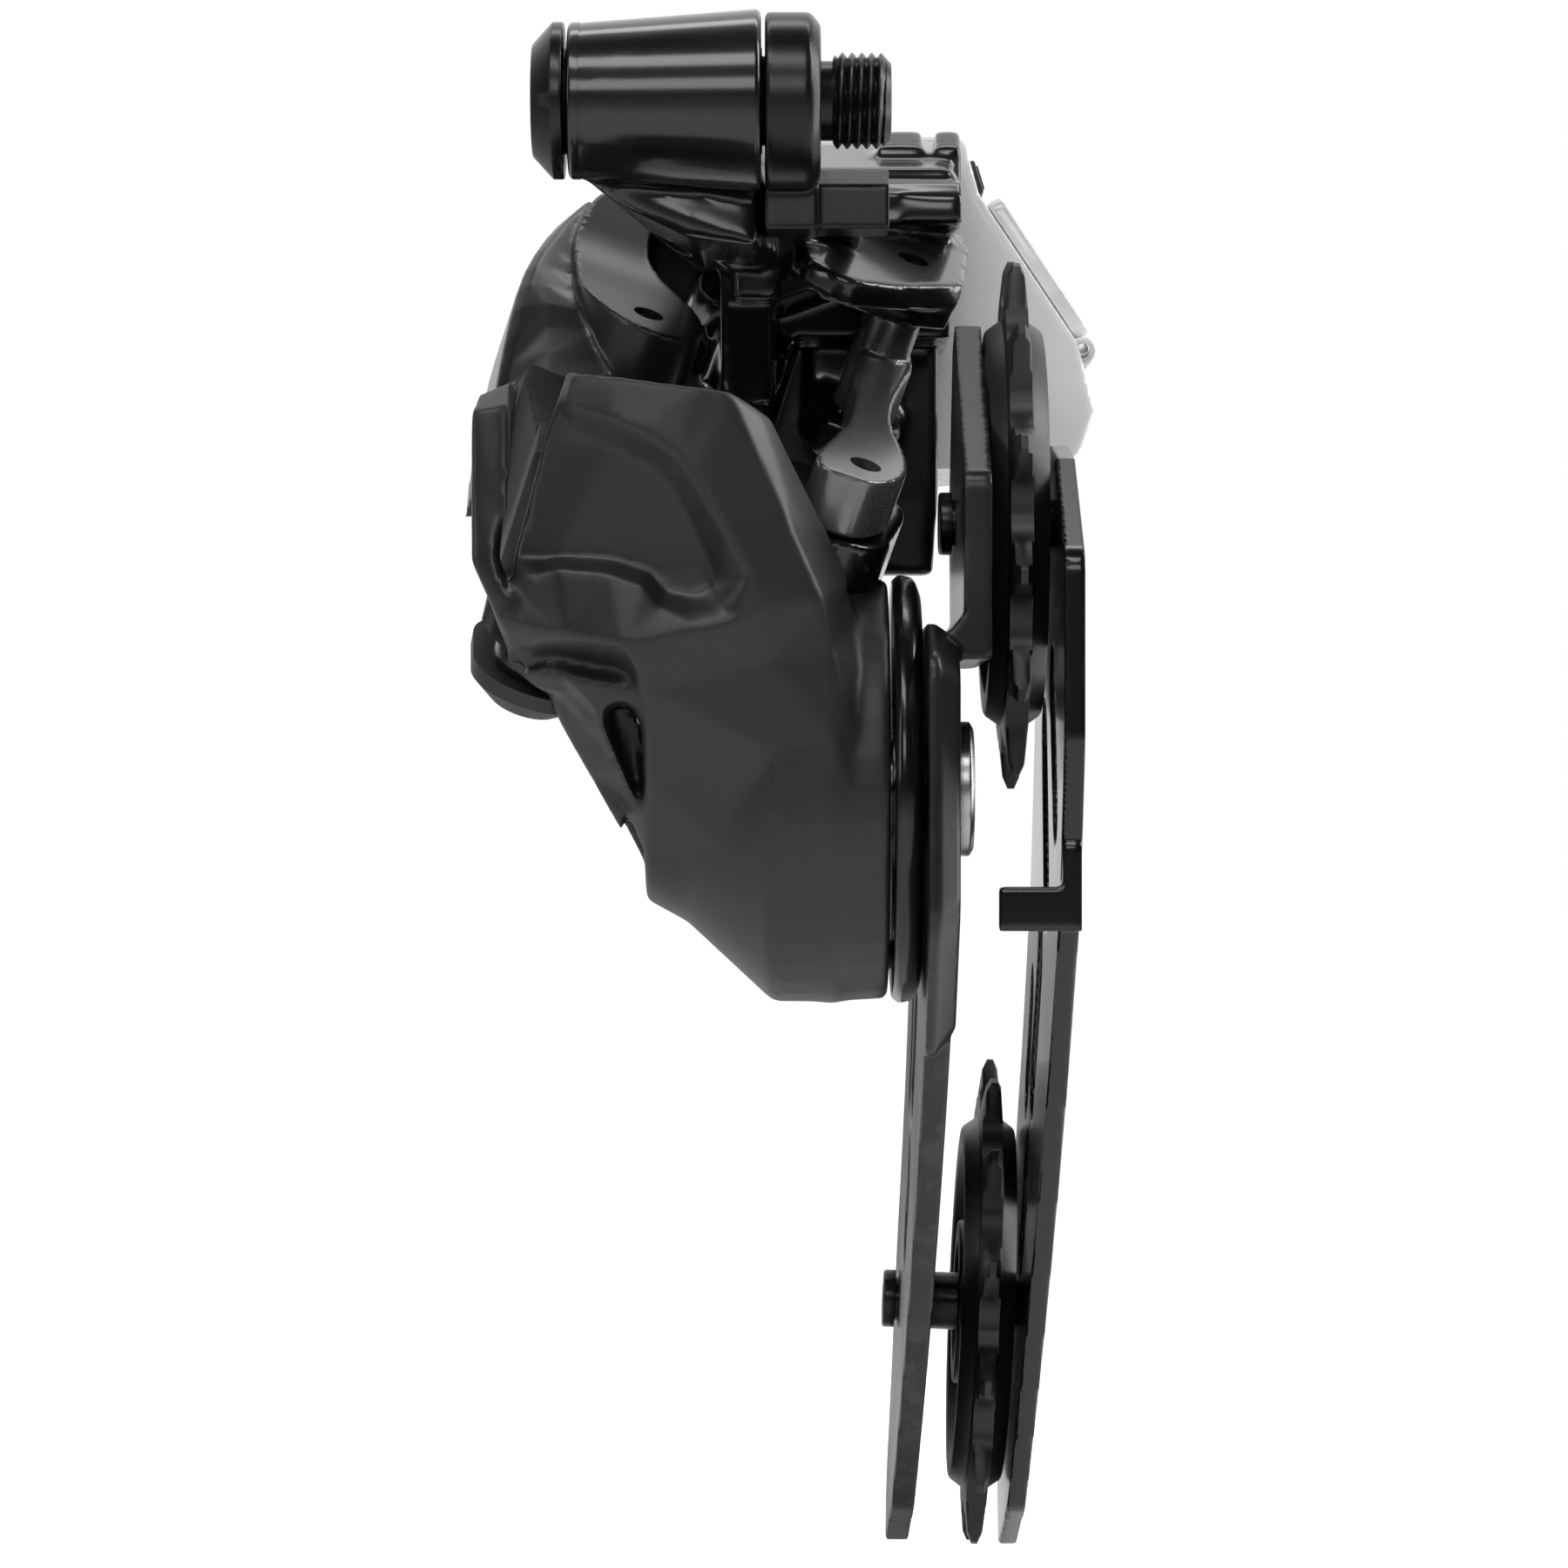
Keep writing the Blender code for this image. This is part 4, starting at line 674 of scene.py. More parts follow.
def make_bracket_fittings():
    axis = along_x(0, 0)
    for name, low, high in (("b_bush_outer", -25.6, -18.5), ("b_bush_inner", -13.5, -6.3)):
        bush = shape(f"{name}_visual", lambda bm: ring(bm, axis, low, high, 5.55, 6.3, 0.15))
        place(bush, "bracket", "polymer", name)
    pins = (("upper_pin_outer", (0, 0), LINK_UNDER + 0.3, -0.6, "bracket"),
            ("upper_pin_inner", UPPER_SPREAD, -9.9, WING_TOP - 0.8, "bracket"),
            ("lower_pin_outer", LINK_STEP, LINK_UNDER - 2.7, EAR_UNDER + 4.4, "knuckle"),
            ("lower_pin_inner", (UPPER_SPREAD[0] + LINK_STEP[0], UPPER_SPREAD[1] + LINK_STEP[1]), -17,
             INNER_TOP - 0.8, "knuckle"))
    for name, at, low, high, body in pins:
        pin = shape(f"{name}_visual", lambda bm: rod(bm, link_frame(*at), low, high, PIN_R, 40, 0.3))
        drill(pin, link_frame(*at), high - 0.9, high + 1, 0.7, 24)
        place(pin, body, "steel", name, slot="pin_steel")
    frame = placed((3.2, 11.8, -10.3), (0, 1, -0.12), (1, 0, 0))
    screw = shape("stop_screw", lambda bm: thread(bm, frame, 0, 12, 0.7, 1.2, 1.5, 40, 8))
    drill(screw, frame, 10, 13, 0.9, 6)
    place(screw, "bracket", "steel", "stop_adjuster", angle=60)


# --------------------------------------------------------------------- link looks


def raised(bm):
    """Lifts the crescent ear's far end, which climbs towards the barrel."""
    frame = link_frame()
    back = frame.inverted()
    for vert in bm.verts:
        local = back @ vert.co
        past = min(max(local.y - EAR_BEND + EAR_SOFT, 0), 2 * EAR_SOFT)
        local.z += EAR_CLIMB * (past * past / (4 * EAR_SOFT) + max(0, local.y - EAR_BEND - EAR_SOFT))
        vert.co = frame @ local


def link_turned(angle):
    """How the outer link stands to the knuckle when it has turned by the angle."""
    pin = link_frame(*LINK_STEP)
    return pin @ Matrix.Rotation(angle, 4, "Z") @ pin.inverted()


def front_wall(bm, gap=0):
    """The space in front of a plane just behind the cover's front skin."""
    hull(bm, [Vector((x, y, z)) for x in (-45, -12) for z in (-62, -22)
              for y in (-60, gap - 18.6 - 0.39 * (x + 27.2) - 0.0814 * (z + 35.8))])


def make_outer_link():
    casting = cad_copy("outer_link_casting", "outer_link")
    cut(casting, lambda bm: prism(bm, rectangle(60, 60, 1), link_frame(0, 4), EAR_UNDER - 1, 40))

    def crescent(bm):
        outline = flowing([(-10.3, 19.4), (-11, 15.1), (-10.8, 11.2), (-9.6, 7.1), (-7.6, 1.6),
                           (-4.2, -2.5), (-0.6, -4.9), (2.4, -5.3), (4.9, -3.6), (6, -0.4), (5.9, 2.4),
                           (4.5, 5.5), (2.2, 7.8), (-0.1, 9.6), (-2.3, 12.1), (-3.2, 14.4), (-3.4, 16.9),
                           (-2.6, 19.3), (-6, 20.2)], 5)
        prism(bm, outline, link_frame(), EAR_UNDER - 2, -0.05)
        bmesh.ops.triangulate(bm, faces=bm.faces[:])
        along = link_point(0, 1, 0) - link_point(0, 0, 0)
        for k in range(20):
            geometry = bm.verts[:] + bm.edges[:] + bm.faces[:]
            at = link_point(0, EAR_BEND - EAR_SOFT + k, 0)
            bmesh.ops.bisect_plane(bm, geom=geometry, dist=1e-4, plane_co=at, plane_no=along)
        raised(bm)

    def shoulder(bm):
        """The rounded outboard wall, a little lower than the crescent's face."""
        rows = []
        for k in range(13):
            t = k / 12
            out = smooth_line([(-12.2, 19.6, 2), (-13.8, 14.6, 0.4), (-14.6, 7.8, -2.4), (-14, 0.9, -6),
                               (-12.4, -7.1, -11.4), (-10.8, -12.5, -15.5)], t)
            inner = smooth_line([(-9.2, 19, 3.9), (-9.8, 14.2, 1.8), (-8.2, 6.8, -0.9), (-5.6, 0, -2.4),
                                 (-1.8, -3.4, -5), (-1.6, -8, -10)], t)
            middle = (out + inner) * 0.5 + Vector((-0.8, 0, 0.7))
            rows.append([link_point(*p) for p in (out, out + Vector((1, 0, 1.2)), middle, inner,
                    out - Vector((0, 0, 9)), inner - Vector((0, 0, 9)))])
        for a, b in zip(rows, rows[1:]):
            hull(bm, a + b)

    ear = fuse(shape("crescent", crescent), [shape("shoulder", shoulder)], 0.28, 7)
    for piece in (ear, casting):
        drill(piece, link_frame(), -30, 5, PIN_R + 0.05, 40)
    place(ear, "outer_link_body", "link", "outer_link")
    fuse(casting, (), 0.36, 5)

    def passing_wall(bm):
        front_wall(bm, 0.3)
        bm.transform(link_turned(-LINK_RANGE))

    cut(casting, passing_wall)
    # The rest of the outer link gets the darker, duller copy of its paint: painted shade
    place(casting, "outer_link_body", "link_in_shade", "outer_link")


def make_inner_link():
    u, v = UPPER_SPREAD
    p, q = u + LINK_STEP[0], v + LINK_STEP[1]

    def bone(bm):
        outline = flowing([(22.6, 8), (23.1, 1), (23.9, -9.7), (24.1, -18), (23.1, -25), (22.4, -30.6),
                           (23.2, -34.2), (25.7, -34.4), (28.3, -33.9), (30.6, -31), (31.5, -26.6),
                           (30.6, -21.5), (28.7, -15.6), (27.8, -8.4), (28, 1), (28.3, 7), (26.8, 13),
                           (23.6, 13.2)], 5)
        prism(bm, outline, link_frame(), INNER_TOP - 6.4, INNER_TOP)

    casting = shape("inner_link_casting", bone)
    boss = shape("boss", lambda bm: rod(bm, link_frame(u, v), -5.3, 6.6, 3.2, 48, 0.4))
    fuse(casting, [boss], 0.24, 7)
    drill(casting, link_frame(u, v), -30, 20, PIN_R + 0.05, 40)
    drill(casting, link_frame(p, q), -30, 20, PIN_R + 0.05, 40)
    place(casting, "inner_link_body", "satin", "inner_link")


# ------------------------------------------------------------------- knuckle looks


def make_knuckle():
    casting = cad_copy("knuckle_casting", "p_knuckle")
    p, q = UPPER_SPREAD[0] + LINK_STEP[0], UPPER_SPREAD[1] + LINK_STEP[1]

    def saddle(bm):
        """Fills the space between the arm and the inner lower pin."""
        outline = rounded([(p - 9, q - 4, 2), (p - 2, q - 6.4, 3), (p + 4.6, q - 3, 3),
                           (p + 5.6, q + 10, 3), (p + 3, q + 16, 3), (p - 9, q + 14, 2)], 5)
        prism(bm, outline, link_frame(), -17, INNER_TOP - 6.8)

    def skirt(bm):
        hull(bm, [link_point(p + a, q + b, -15) for a, b in ((-8, -2), (4, -2), (4, 12), (-8, 12))]
             + block((-6, -12, -56), (6, 6, -54)))

    fuse(casting, [shape("saddle", saddle), shape("skirt", skirt)], 0.42, 8)
    place(casting, "knuckle", "flake", "p_knuckle")


# The cover's front, as creases in (x, y, z), one point for each bend. The points were picked in the
# photograph and turned into millimetres at depths that were judged.
COVER_BORDER = [
    (-24.9, -22, -29.4), (-19.7, -25, -32), (-18.8, -25, -31.4), (-12.4, -25.5, -31.3), (-9, -25, -31.8),
    (-5.1, -20, -34), (-0.1, -15.5, -44.4), (2.1, -12, -49.2), (3.4, -13.6, -53.5), (3.6, -18.3, -58.5),
    (3.2, -21, -64), (2.6, -21.8, -70), (1.2, -21.9, -72), (-5.1, -21.5, -73), (-10, -15.9, -76),
    (-14, -11, -78), (-17.5, -9, -77.5), (-18.6, -8.6, -75), (-20.4, -9.4, -70.4), (-24, -11, -66.5),
    (-25.7, -12, -64.6), (-26.4, -12.4, -62.3), (-29.5, -14, -58.6), (-31.3, -16.6, -56.4),
    (-31.5, -19.3, -53.9), (-30.5, -19.2, -50.6), (-30.4, -18.5, -47.6), (-29.5, -18.7, -44.2),
    (-27.2, -20.3, -35.8), (-26.2, -21.2, -33)]
CREST = [
    (-26.2, -21.2, -33), (-24.3, -24.4, -33.1), (-20.7, -25.8, -34.3), (-17.3, -26.1, -35.9),
    (-14.1, -26.1, -38), (-12.5, -26.1, -40.2), (-9, -25.9, -46.3), (-7, -25.4, -49.8), (-5.9, -24.8, -53),
    (-5.1, -23.2, -58), (-5.1, -21.9, -67), (-5.1, -21.5, -73)]
CREASE = [
    (-9, -25, -31.8), (-3.3, -24.3, -44.5), (0.1, -23.2, -52.1), (1.1, -22.3, -57), (1.2, -22.1, -66),
    (1.2, -21.9, -72)]
RECESS_FOOT = [
    (-27.2, -20.3, -35.8), (-24.5, -21.9, -35.3), (-20.8, -22.7, -37), (-16.9, -22.9, -39),
    (-14.9, -22.8, -41), (-13.1, -22.5, -44.2), (-11.4, -22.2, -48), (-10.6, -22.1, -50.4)]
SHELF_FOOT = [
    (-30.4, -18.5, -47.6), (-26, -19.8, -47.7), (-20.9, -20.6, -48), (-17.3, -21, -49.1),
    (-15.4, -21.6, -51.3), (-12.9, -22.1, -51.7), (-10.6, -22.1, -50.4)]
SHELF_CREST = [
    (-30.5, -19.2, -50.6), (-28.6, -21, -49.4), (-26, -22.4, -48.9), (-20.8, -23.5, -49.4),
    (-17.4, -24, -50.6), (-15.8, -24, -52.8), (-12.7, -23.9, -53.3), (-9.7, -24.1, -52.9),
    (-7, -25.4, -49.8)]
SHELF_EDGE = [
    (-31.5, -19.3, -53.9), (-25, -23, -55.5), (-19.4, -25.1, -56.4), (-12.2, -25, -54.8),
    (-8, -24.9, -53.8), (-5.9, -24.8, -53)]
UNDERCUT = [
    (-31.3, -16.6, -56.4), (-26.1, -17.4, -57.5), (-20.4, -18.6, -58.6), (-18.9, -19.6, -59.2)]
LIP = [
    (-29.5, -14, -58.6), (-28.8, -17.2, -58.8), (-25, -19.4, -59.5), (-20.5, -20.4, -60.3),
    (-18.5, -20.2, -61)]
STEP = [
    (-19.4, -25.1, -56.4), (-17.9, -23.7, -58.9), (-17.2, -22.5, -60.8), (-17, -20, -65), (-17.1, -16, -70),
    (-17.5, -9, -77.5)]
POCKET_RIM = [
    (-21.7, -18.4, -63.2), (-21.1, -19.2, -62.1), (-19.9, -19.5, -61.8), (-18.7, -19.3, -62.2),
    (-17.8, -19, -64), (-17.6, -15.2, -69.5), (-17.9, -12, -73.2), (-20.4, -16.2, -67.2),
    (-21.4, -17.6, -64.6)]
POCKET_FLOOR = [
    (-21.1, -12, -63.3), (-20.7, -12, -62.7), (-19.8, -12, -62.4), (-18.9, -12, -62.8), (-18.2, -11, -64.4),
    (-18, -10, -69.3), (-18.2, -10, -71.6), (-20.1, -11, -67), (-20.9, -11.5, -64.6)]


def make_cover():
    cover = cad_copy("cover_shell", "p_cover")
    creases = [CREST, CREASE, RECESS_FOOT, SHELF_FOOT, SHELF_CREST, SHELF_EDGE, UNDERCUT, LIP, STEP,
               [*POCKET_RIM, POCKET_RIM[0]], [*POCKET_FLOOR, POCKET_FLOOR[0]]]
    wider = []
    for x, y, z in COVER_BORDER:
        out = Vector((x + 14, 0, z + 50)).normalized() * (1.6 if z > -50 or x < -19 else 0)
        wider.append((x + out.x, y, z + out.z))
    # The shell outside the creased front goes, and a new skin takes its place.
    cut(cover, lambda bm: relief(bm, creases, wider, flat_y=-48))
    cut(cover, lambda bm: hull(bm, block((-45, -30, -53.5), (-31, -4, -20))))
    cut(cover, lambda bm: hull(bm, block((-45, -30, -62.5), (-31.2, -4, -50))))
    cut(cover, lambda bm: hull(bm, block((-20, -30, -95), (-4, -6, -73))))
    skin = shape("skin", lambda bm: relief(bm, creases, COVER_BORDER, 1.9))

    def prong(bm):
        spine = [((-34.7, -17, -33.2), (-30.9, -17.6, -32.6), (-34.3, -12.4, -31), (-30.2, -11.6, -29.2)),
                 ((-34.7, -17.6, -42), (-31.5, -18.4, -42), (-34.7, -13.4, -42), (-31.5, -13.4, -42)),
                 ((-34.6, -18.4, -48), (-32.1, -19.3, -47.6), (-34.6, -13.8, -48), (-32, -13.8, -47.6)),
                 ((-32.9, -18.8, -51.6), (-31.2, -19.6, -51), (-33, -13.8, -52), (-30.6, -13.8, -51)),
                 ((-31.4, -18.6, -55), (-28.6, -20.2, -53.6), (-31.4, -13.8, -56.6), (-27.6, -13.8, -55))]
        for a, b in zip(spine, spine[1:]):
            hull(bm, [Vector(p) for p in a + b])

    def drum_front(bm):
        turned(bm, [(-17.8, 9), (-17.8, 11.3), (-13.6, 13.6), (-5.2, 21.4), (1.2, 21.95), (6.8, 20.9),
                    (6.8, 18.6), (-4, 18.6), (-13, 11.2), (-15.9, 9)], along_x(*P_CENTRE), 128, closed=True)

    def passing_link(bm):
        """The outer link at the end of its travel, up to the wall of the cover's front."""
        link = cad_copy("passing_link", "outer_link")
        link.data.transform(Matrix.Scale(MM, 4) @ link_turned(LINK_RANGE) @ Matrix.Scale(1 / MM, 4))
        cut(link, front_wall)
        bm.from_mesh(link.data)
        bm.transform(Matrix.Scale(1 / MM, 4))
        bpy.data.objects.remove(link, do_unlink=True)

    fuse(cover, [skin, shape("prong", prong), shape("drum_front", drum_front)], 0.38, 12)
    cut(cover, passing_link)
    place(cover, "knuckle", "cover", "p_cover")


def make_knuckle_fittings():
    axis = along_x(*P_CENTRE)
    low = LINK_UNDER - 3.3

    def round_pad(bm):
        """Two stepped discs side by side, in one hull."""
        points = []
        for a, b, grow in ((0, 0, 0), (-0.6, 6, 0.6)):
            for radius, height in ((6.4, low), (6.2, low - 1.6), (3.6, low - 3.6)):
                for k in range(48):
                    turn, reach = 2 * math.pi * k / 48, radius + grow
                    spot = Vector((a + reach * math.cos(turn), b + reach * math.sin(turn), height))
                    points.append(link_frame(*LINK_STEP) @ spot)
        hull(bm, points)

    bumper = soften(shape("bumper", round_pad), 1.2, 5, 20)
    place(bumper, "knuckle", "rubber", "skid_bumper")
    for name, a, b, inner, outer, key in (("p_bush", -13.8, -9.4, 5.05, 6.3, "polymer"),
            ("clutch_band", -8.6, -2, 8.15, 9.4, "bright")):
        piece = shape(f"{name}_visual", lambda bm: ring(bm, axis, a, b, inner, outer, 0.2))
        place(piece, "knuckle", key, name)
    spring = shape("cage_spring_visual", lambda bm: coil(bm, axis, -7, 2.25, 3, 1, 11.6))
    place(spring, "knuckle", "bright", "cage_spring")


def coil(bm, where, start, pitch, turns, wire, radius, steps=48, sides=16):
    """Round wire wound about local Z."""
    rings = []
    for i in range(int(turns * steps) + 1):
        turn = 2 * math.pi * i / steps
        out = Vector((math.cos(turn), math.sin(turn), 0))
        middle = out * radius + Vector((0, 0, start + pitch * i / steps))
        spots = [middle + wire * (out * math.cos(2 * math.pi * k / sides)
                                  + Vector((0, 0, math.sin(2 * math.pi * k / sides))))
                 for k in range(sides)]
        rings.append([bm.verts.new(where @ spot) for spot in spots])
    skin_rings(bm, rings)
    bm.faces.new(rings[0])
    bm.faces.new(rings[-1])


# ---------------------------------------------------------------------- cage looks


def hole(target, y, z, radius):
    drill(target, along_x(y, z), -5, 40, radius, 48)


def tension_frame():
    """The tension pulley's axis, square to the bowed plates."""
    y, z = TENSION_CENTRE
    lean = 2 * CAGE_BOW * (P_CENTRE[1] - z)
    return placed((TENSION_X, y, z), (1, 0, -lean), (0, 1, 0))


def arm_slots():
    return [((22, -88), (34, -103), 4.2), ((45, -104), (38, -93), 3.2), ((39.5, -112.5), (45, -121), 4)]


def plate(name, outline, low, high, bend=True):
    """A flat plate extruded along X, with its holes still to cut."""
    def build(bm):
        prism(bm, outline, along_x(0, 0), low, high)
        if bend:
            bow(bm)
    return shape(name, build)


def make_outer_plate():
    y, z = P_CENTRE
    ty, tz = TENSION_CENTRE
    low, high = OUTER_BOSS_X
    front, back = OUTER_PLATE_X
    arm = plate("outer_plate", rounded([
        (-20, -82, 4), (6, -60, 4), (40, -68, 10), (ty + 17, tz + 4, 14),
        (ty + 13, tz - 22, 9), (ty + 2, tz - 28, 3), (ty - 12, tz - 22, 5)], 8), low + 0.3, high - 0.2)
    for start, end, radius in arm_slots():
        cut(arm, lambda bm: prism(bm, slot_outline(start, end, radius), along_x(0, 0), 0, 20))
    around = [(y - 23.5, z - 13.5, 4), (y - 23.5, z + 13, 3), (y - 13, z + 16.5, 3), (y + 25, z + 16.5, 3),
              (y + 34, z - 8, 6), (y + 12, z - 27.5, 4), (y - 8, z - 27, 4)]

    def chamfered(bm):
        wide = [Vector((x, a, b)) for a, b in rounded(around, 6) for x in (low, low + 1)]
        narrow = [Vector((high, y + (a - y) * 0.90, z + (b - z) * 0.90)) for a, b in rounded(around, 6)]
        hull(bm, wide + narrow)

    boss = shape("boss", chamfered)
    guide = plate("guide_part", rounded([
        (20, -23.4, 3), (14, -21.6, 1), (-14, -39.2, 2), (-14, -57.5, 0.5), (27, -57.5, 0.5),
        (31, -40, 8)], 6), front, back, bend=False)

    def jog(bm):
        hull(bm, [Vector((x, a, -53)) for x in (front, back) for a in (-14, 28)]
             + [Vector((x, a, -57.6)) for x in (low, high + 2.6) for a in (-14, 26)])

    fuse(arm, [boss, guide, shape("jog", jog)], 0.34, 4)
    hole(arm, y, z, P_AXLE_R + 0.3)
    hole(arm, *GUIDE_CENTRE, BOLT_M5_R + 0.3)
    drill(arm, tension_frame(), -14, 0, BOLT_M5_R + 0.3, 32)
    place(arm, "cage", "cage", "cage_outer_plate")


def make_inner_plate():
    y, z = TENSION_CENTRE
    made = plate("inner_plate", rounded([
        (-3.5, -36.8, 2), (-20.5, -47.5, 3), (-20.5, -66, 4), (-12, -84, 4), (y - 13, z - 22, 5),
        (y + 2, z - 28.6, 4), (y + 13.5, z - 22, 9), (y + 17, z + 2, 14), (45, -82, 12),
        (24, -40, 10), (10, -34.5, 6)], 8), *INNER_PLATE_X)
    windows = arm_slots() + [((1, -60), (-4, -72), 4), ((16, -66), (12, -80), 5)]
    for start, end, radius in windows:
        cut(made, lambda bm: prism(bm, slot_outline(start, end, radius), along_x(0, 0), 15, 30))

    def tab(bm):
        hull(bm, block((17.6, -16.4, -84.6), (25, -14.2, -80.2)))

    def neck(bm):
        hull(bm, block((23.9, -16.4, -84.6), (25.8, -9, -76)))

    fuse(made, [shape("tab", tab), shape("neck", neck)], 0.3, 4)
    hole(made, *GUIDE_CENTRE, BOLT_M5_R + 0.3)
    drill(made, tension_frame(), 0, 14, BOLT_M5_R + 0.3, 32)
    place(made, "cage", "gloss", "cage_inner_plate")


def make_cage_fittings():
    y, z = P_CENTRE
    axis = along_x(y, z)
    flange_line = [(7.2, P_AXLE_R + 0.3), (7.2, 21.3, 0.5), (7.9, 21.95, 0.7), (9.5, 21.6, 1),
                   (10.1, 20, 0.5), (10.1, P_AXLE_R + 0.3)]
    flange = lathe("cage_ring", flange_line, axis, 128, 3, closed=True)
    place(flange, "cage", "gloss", "cage_flange")
    line = [(-15.2, 0), (-15.2, P_AXLE_R, 0.4), (13.9, P_AXLE_R), (13.9, 6.9, 0.2), (15.2, 6.9, 0.3),
            (15.6, 6.2, 0.2), (15.6, 4.6), (15.2, 4.3), (15.2, 0)]
    axle = lathe("pivot_axle", line, axis, 96)
    drill(axle, axis, 12.5, 17, 2.9, 6)
    # Painted highlight: the axle is black steel, but it gets the bright ground-steel finish so that its end
    # shows a lit silver ring
    place(axle, "cage", "bright", "p_axle", slot="black_steel")
    sleeve = shape("clutch_drum_visual", lambda bm: ring(bm, axis, -8.6, 6.9, P_AXLE_R + 0.3, 8.05, 0.3))
    place(sleeve, "cage", "bright", "clutch_drum")
    stop = shape("stop_pin", lambda bm: rod(bm, along_x(y + 19, z - 17.6), 4, OUTER_BOSS_X[0] - 0.3, 1.6,
            40, 0.35))
    place(stop, "cage", "steel", "cage_stop_pin")


def tooth_outline(steps=5):
    """One turn of sprocket teeth as (angle, radius): roller seats between narrow tips."""
    pitch_r = CHAIN_PITCH / (2 * math.sin(math.pi / PULLEY_TEETH))
    tip_r, roller = pitch_r + 1.5, 3.95
    step = 2 * math.pi / PULLEY_TEETH
    outline = []
    for i in range(PULLEY_TEETH):
        for k in range(-steps, steps + 1):
            swing = math.radians(62) * k / steps
            reach = pitch_r - roller * math.cos(swing)
            across = roller * math.sin(swing)
            outline.append((i * step + across / reach, math.hypot(reach, across)))
        for side, drop in ((-0.036, 0.25), (-0.024, 0), (0.024, 0), (0.036, 0.25)):
            outline.append(((i + 0.5) * step + side, tip_r - drop))
    return outline


def make_pulley(name, frame, phase, body):
    half = 0.5 * PULLEY_WIDTH
    outline = tooth_outline()
    tip = max(r for _, r in outline)
    side = [(half - 0.1, PULLEY_BORE_R), (half, PULLEY_BORE_R + 0.1), (half, 9.1), (half - 0.15, 9.3),
            (1.5, 9.6), (1.4, 9.8), (1.4, 17.3), (1.5, 17.5), (half - 0.15, 17.9), (half, 18.1), (half, 20),
            (half - 0.2, 20.3), (1.35, 21.3)]
    stations = [(-a, r) for a, r in side] + [(-1.15, tip - 4.2), (-0.85, tip - 1.5), (-0.35, None),
            (0.35, None), (0.85, tip - 1.5), (1.15, tip - 4.2)] + side[::-1]

    def build(bm):
        rings = []
        for along, radius in stations:
            if radius is None:
                spots = [(t + phase, r) for t, r in outline]
            elif radius > 21.5:
                spots = [(t + phase, min(r, radius + 0.35)) for t, r in outline]
            else:
                spots = [(t + phase, radius) for t, _ in outline]
            rings.append([bm.verts.new(frame @ polar(r, t, along)) for t, r in spots])
        skin_rings(bm, rings + rings[:1])

    made = shape(f"{name}_visual", build)

    def windows(bm):
        for i in range(5):
            turn = 2 * math.pi * i / 5
            at = frame @ Matrix.Rotation(turn, 4, "Z") @ Matrix.Translation((13.5, 0, 0))
            prism(bm, rounded([(-2.9, -2.2, 0.9), (2.7, -4.6, 1.2), (2.7, 4.6, 1.2), (-2.9, 2.2, 0.9)], 5),
                  at, -5, 5)

    cut(made, windows)
    place(made, body, "polymer", name, angle=28)


def make_pulley_fittings(prefix, frame, outer_gap, inner_gap, body):
    shield = [(-2.5, SLEEVE_R + 0.05), (-2.5, 4.5, 0.1), (-2.2, 4.6), (-2.2, 5.9), (-2.5, 6, 0.1),
              (-2.5, 6.65, 0.1), (2.5, 6.65, 0.1), (2.5, 6, 0.1), (2.2, 5.9), (2.2, 4.6), (2.5, 4.5, 0.1),
              (2.5, SLEEVE_R + 0.05)]
    bearing = lathe(f"{prefix}_bearing_visual", shield, frame, 72, 3, closed=True)
    place(bearing, body, "bright", f"{prefix}_bearing")
    sleeve = shape(f"{prefix}_sleeve_visual", lambda bm: ring(
        bm, frame, -outer_gap + 0.3, inner_gap - 0.3, BOLT_M5_R + 0.3, SLEEVE_R, 0.15, 48))
    place(sleeve, "cage", "steel", f"{prefix}_sleeve", slot="pin_steel")
    face = -outer_gap - 4.5
    line = [(face, 0), (face, 3.3, 0.35), (-outer_gap - 3.1, 3.3, 0.1), (-outer_gap - 3.1, BOLT_M5_R),
            (inner_gap + 2.6, BOLT_M5_R, 0.3), (inner_gap + 2.6, 0)]
    bolt = lathe(f"{prefix}_bolt_visual", line, frame, 64)
    drill(bolt, frame, face - 0.5, face + 2.1, 1.75, 6)
    place(bolt, "cage", "steel", f"{prefix}_bolt")


def make_pulleys():
    guide_frame = along_x(*GUIDE_CENTRE, GUIDE_X)
    shift = CAGE_BOW * (P_CENTRE[1] - TENSION_CENTRE[1]) ** 2
    guide_gaps = (GUIDE_X - OUTER_PLATE_X[1], INNER_PLATE_X[0] - GUIDE_X)
    tension_gaps = (TENSION_X - OUTER_BOSS_X[1] + 0.2 + shift, INNER_PLATE_X[0] - shift - TENSION_X)
    for prefix, frame, gaps, body in (("guide", guide_frame, guide_gaps, "guide_wheel"),
                                      ("tension", tension_frame(), tension_gaps, "tension_wheel")):
        make_pulley(f"{prefix}_pulley", frame, math.pi, body)
        make_pulley_fittings(prefix, frame, *gaps, body)


# ------------------------------------------------------------------- battery looks


BOX_Y = (52, 84)
DOOR_HINGE = (30.2, -20.6)


def slant_frame(y=68):
    """On the housing's slanted face: local X rearward, local Y up the slope, local Z outward."""
    return placed((24, y, -11.6), (0.832, 0, 0.555), (0, 1, 0))


def facet_frame():
    return placed((17.45, 68, 0.1), (0.957, 0, 0.290), (0, 1, 0))


def rear_frame(x, z):
    return placed((x, BOX_Y[1], z), (0, 1, 0), (1, 0, 0))


def hinge_frame():
    return placed((DOOR_HINGE[0], 68, DOOR_HINGE[1]), (0, 1, 0), (1, 0, 0))


def rectangle(width, height, radius, steps=6):
    w, h = 0.5 * width, 0.5 * height
    return rounded([(-w, -h, radius), (w, -h, radius), (w, h, radius), (-w, h, radius)], steps)


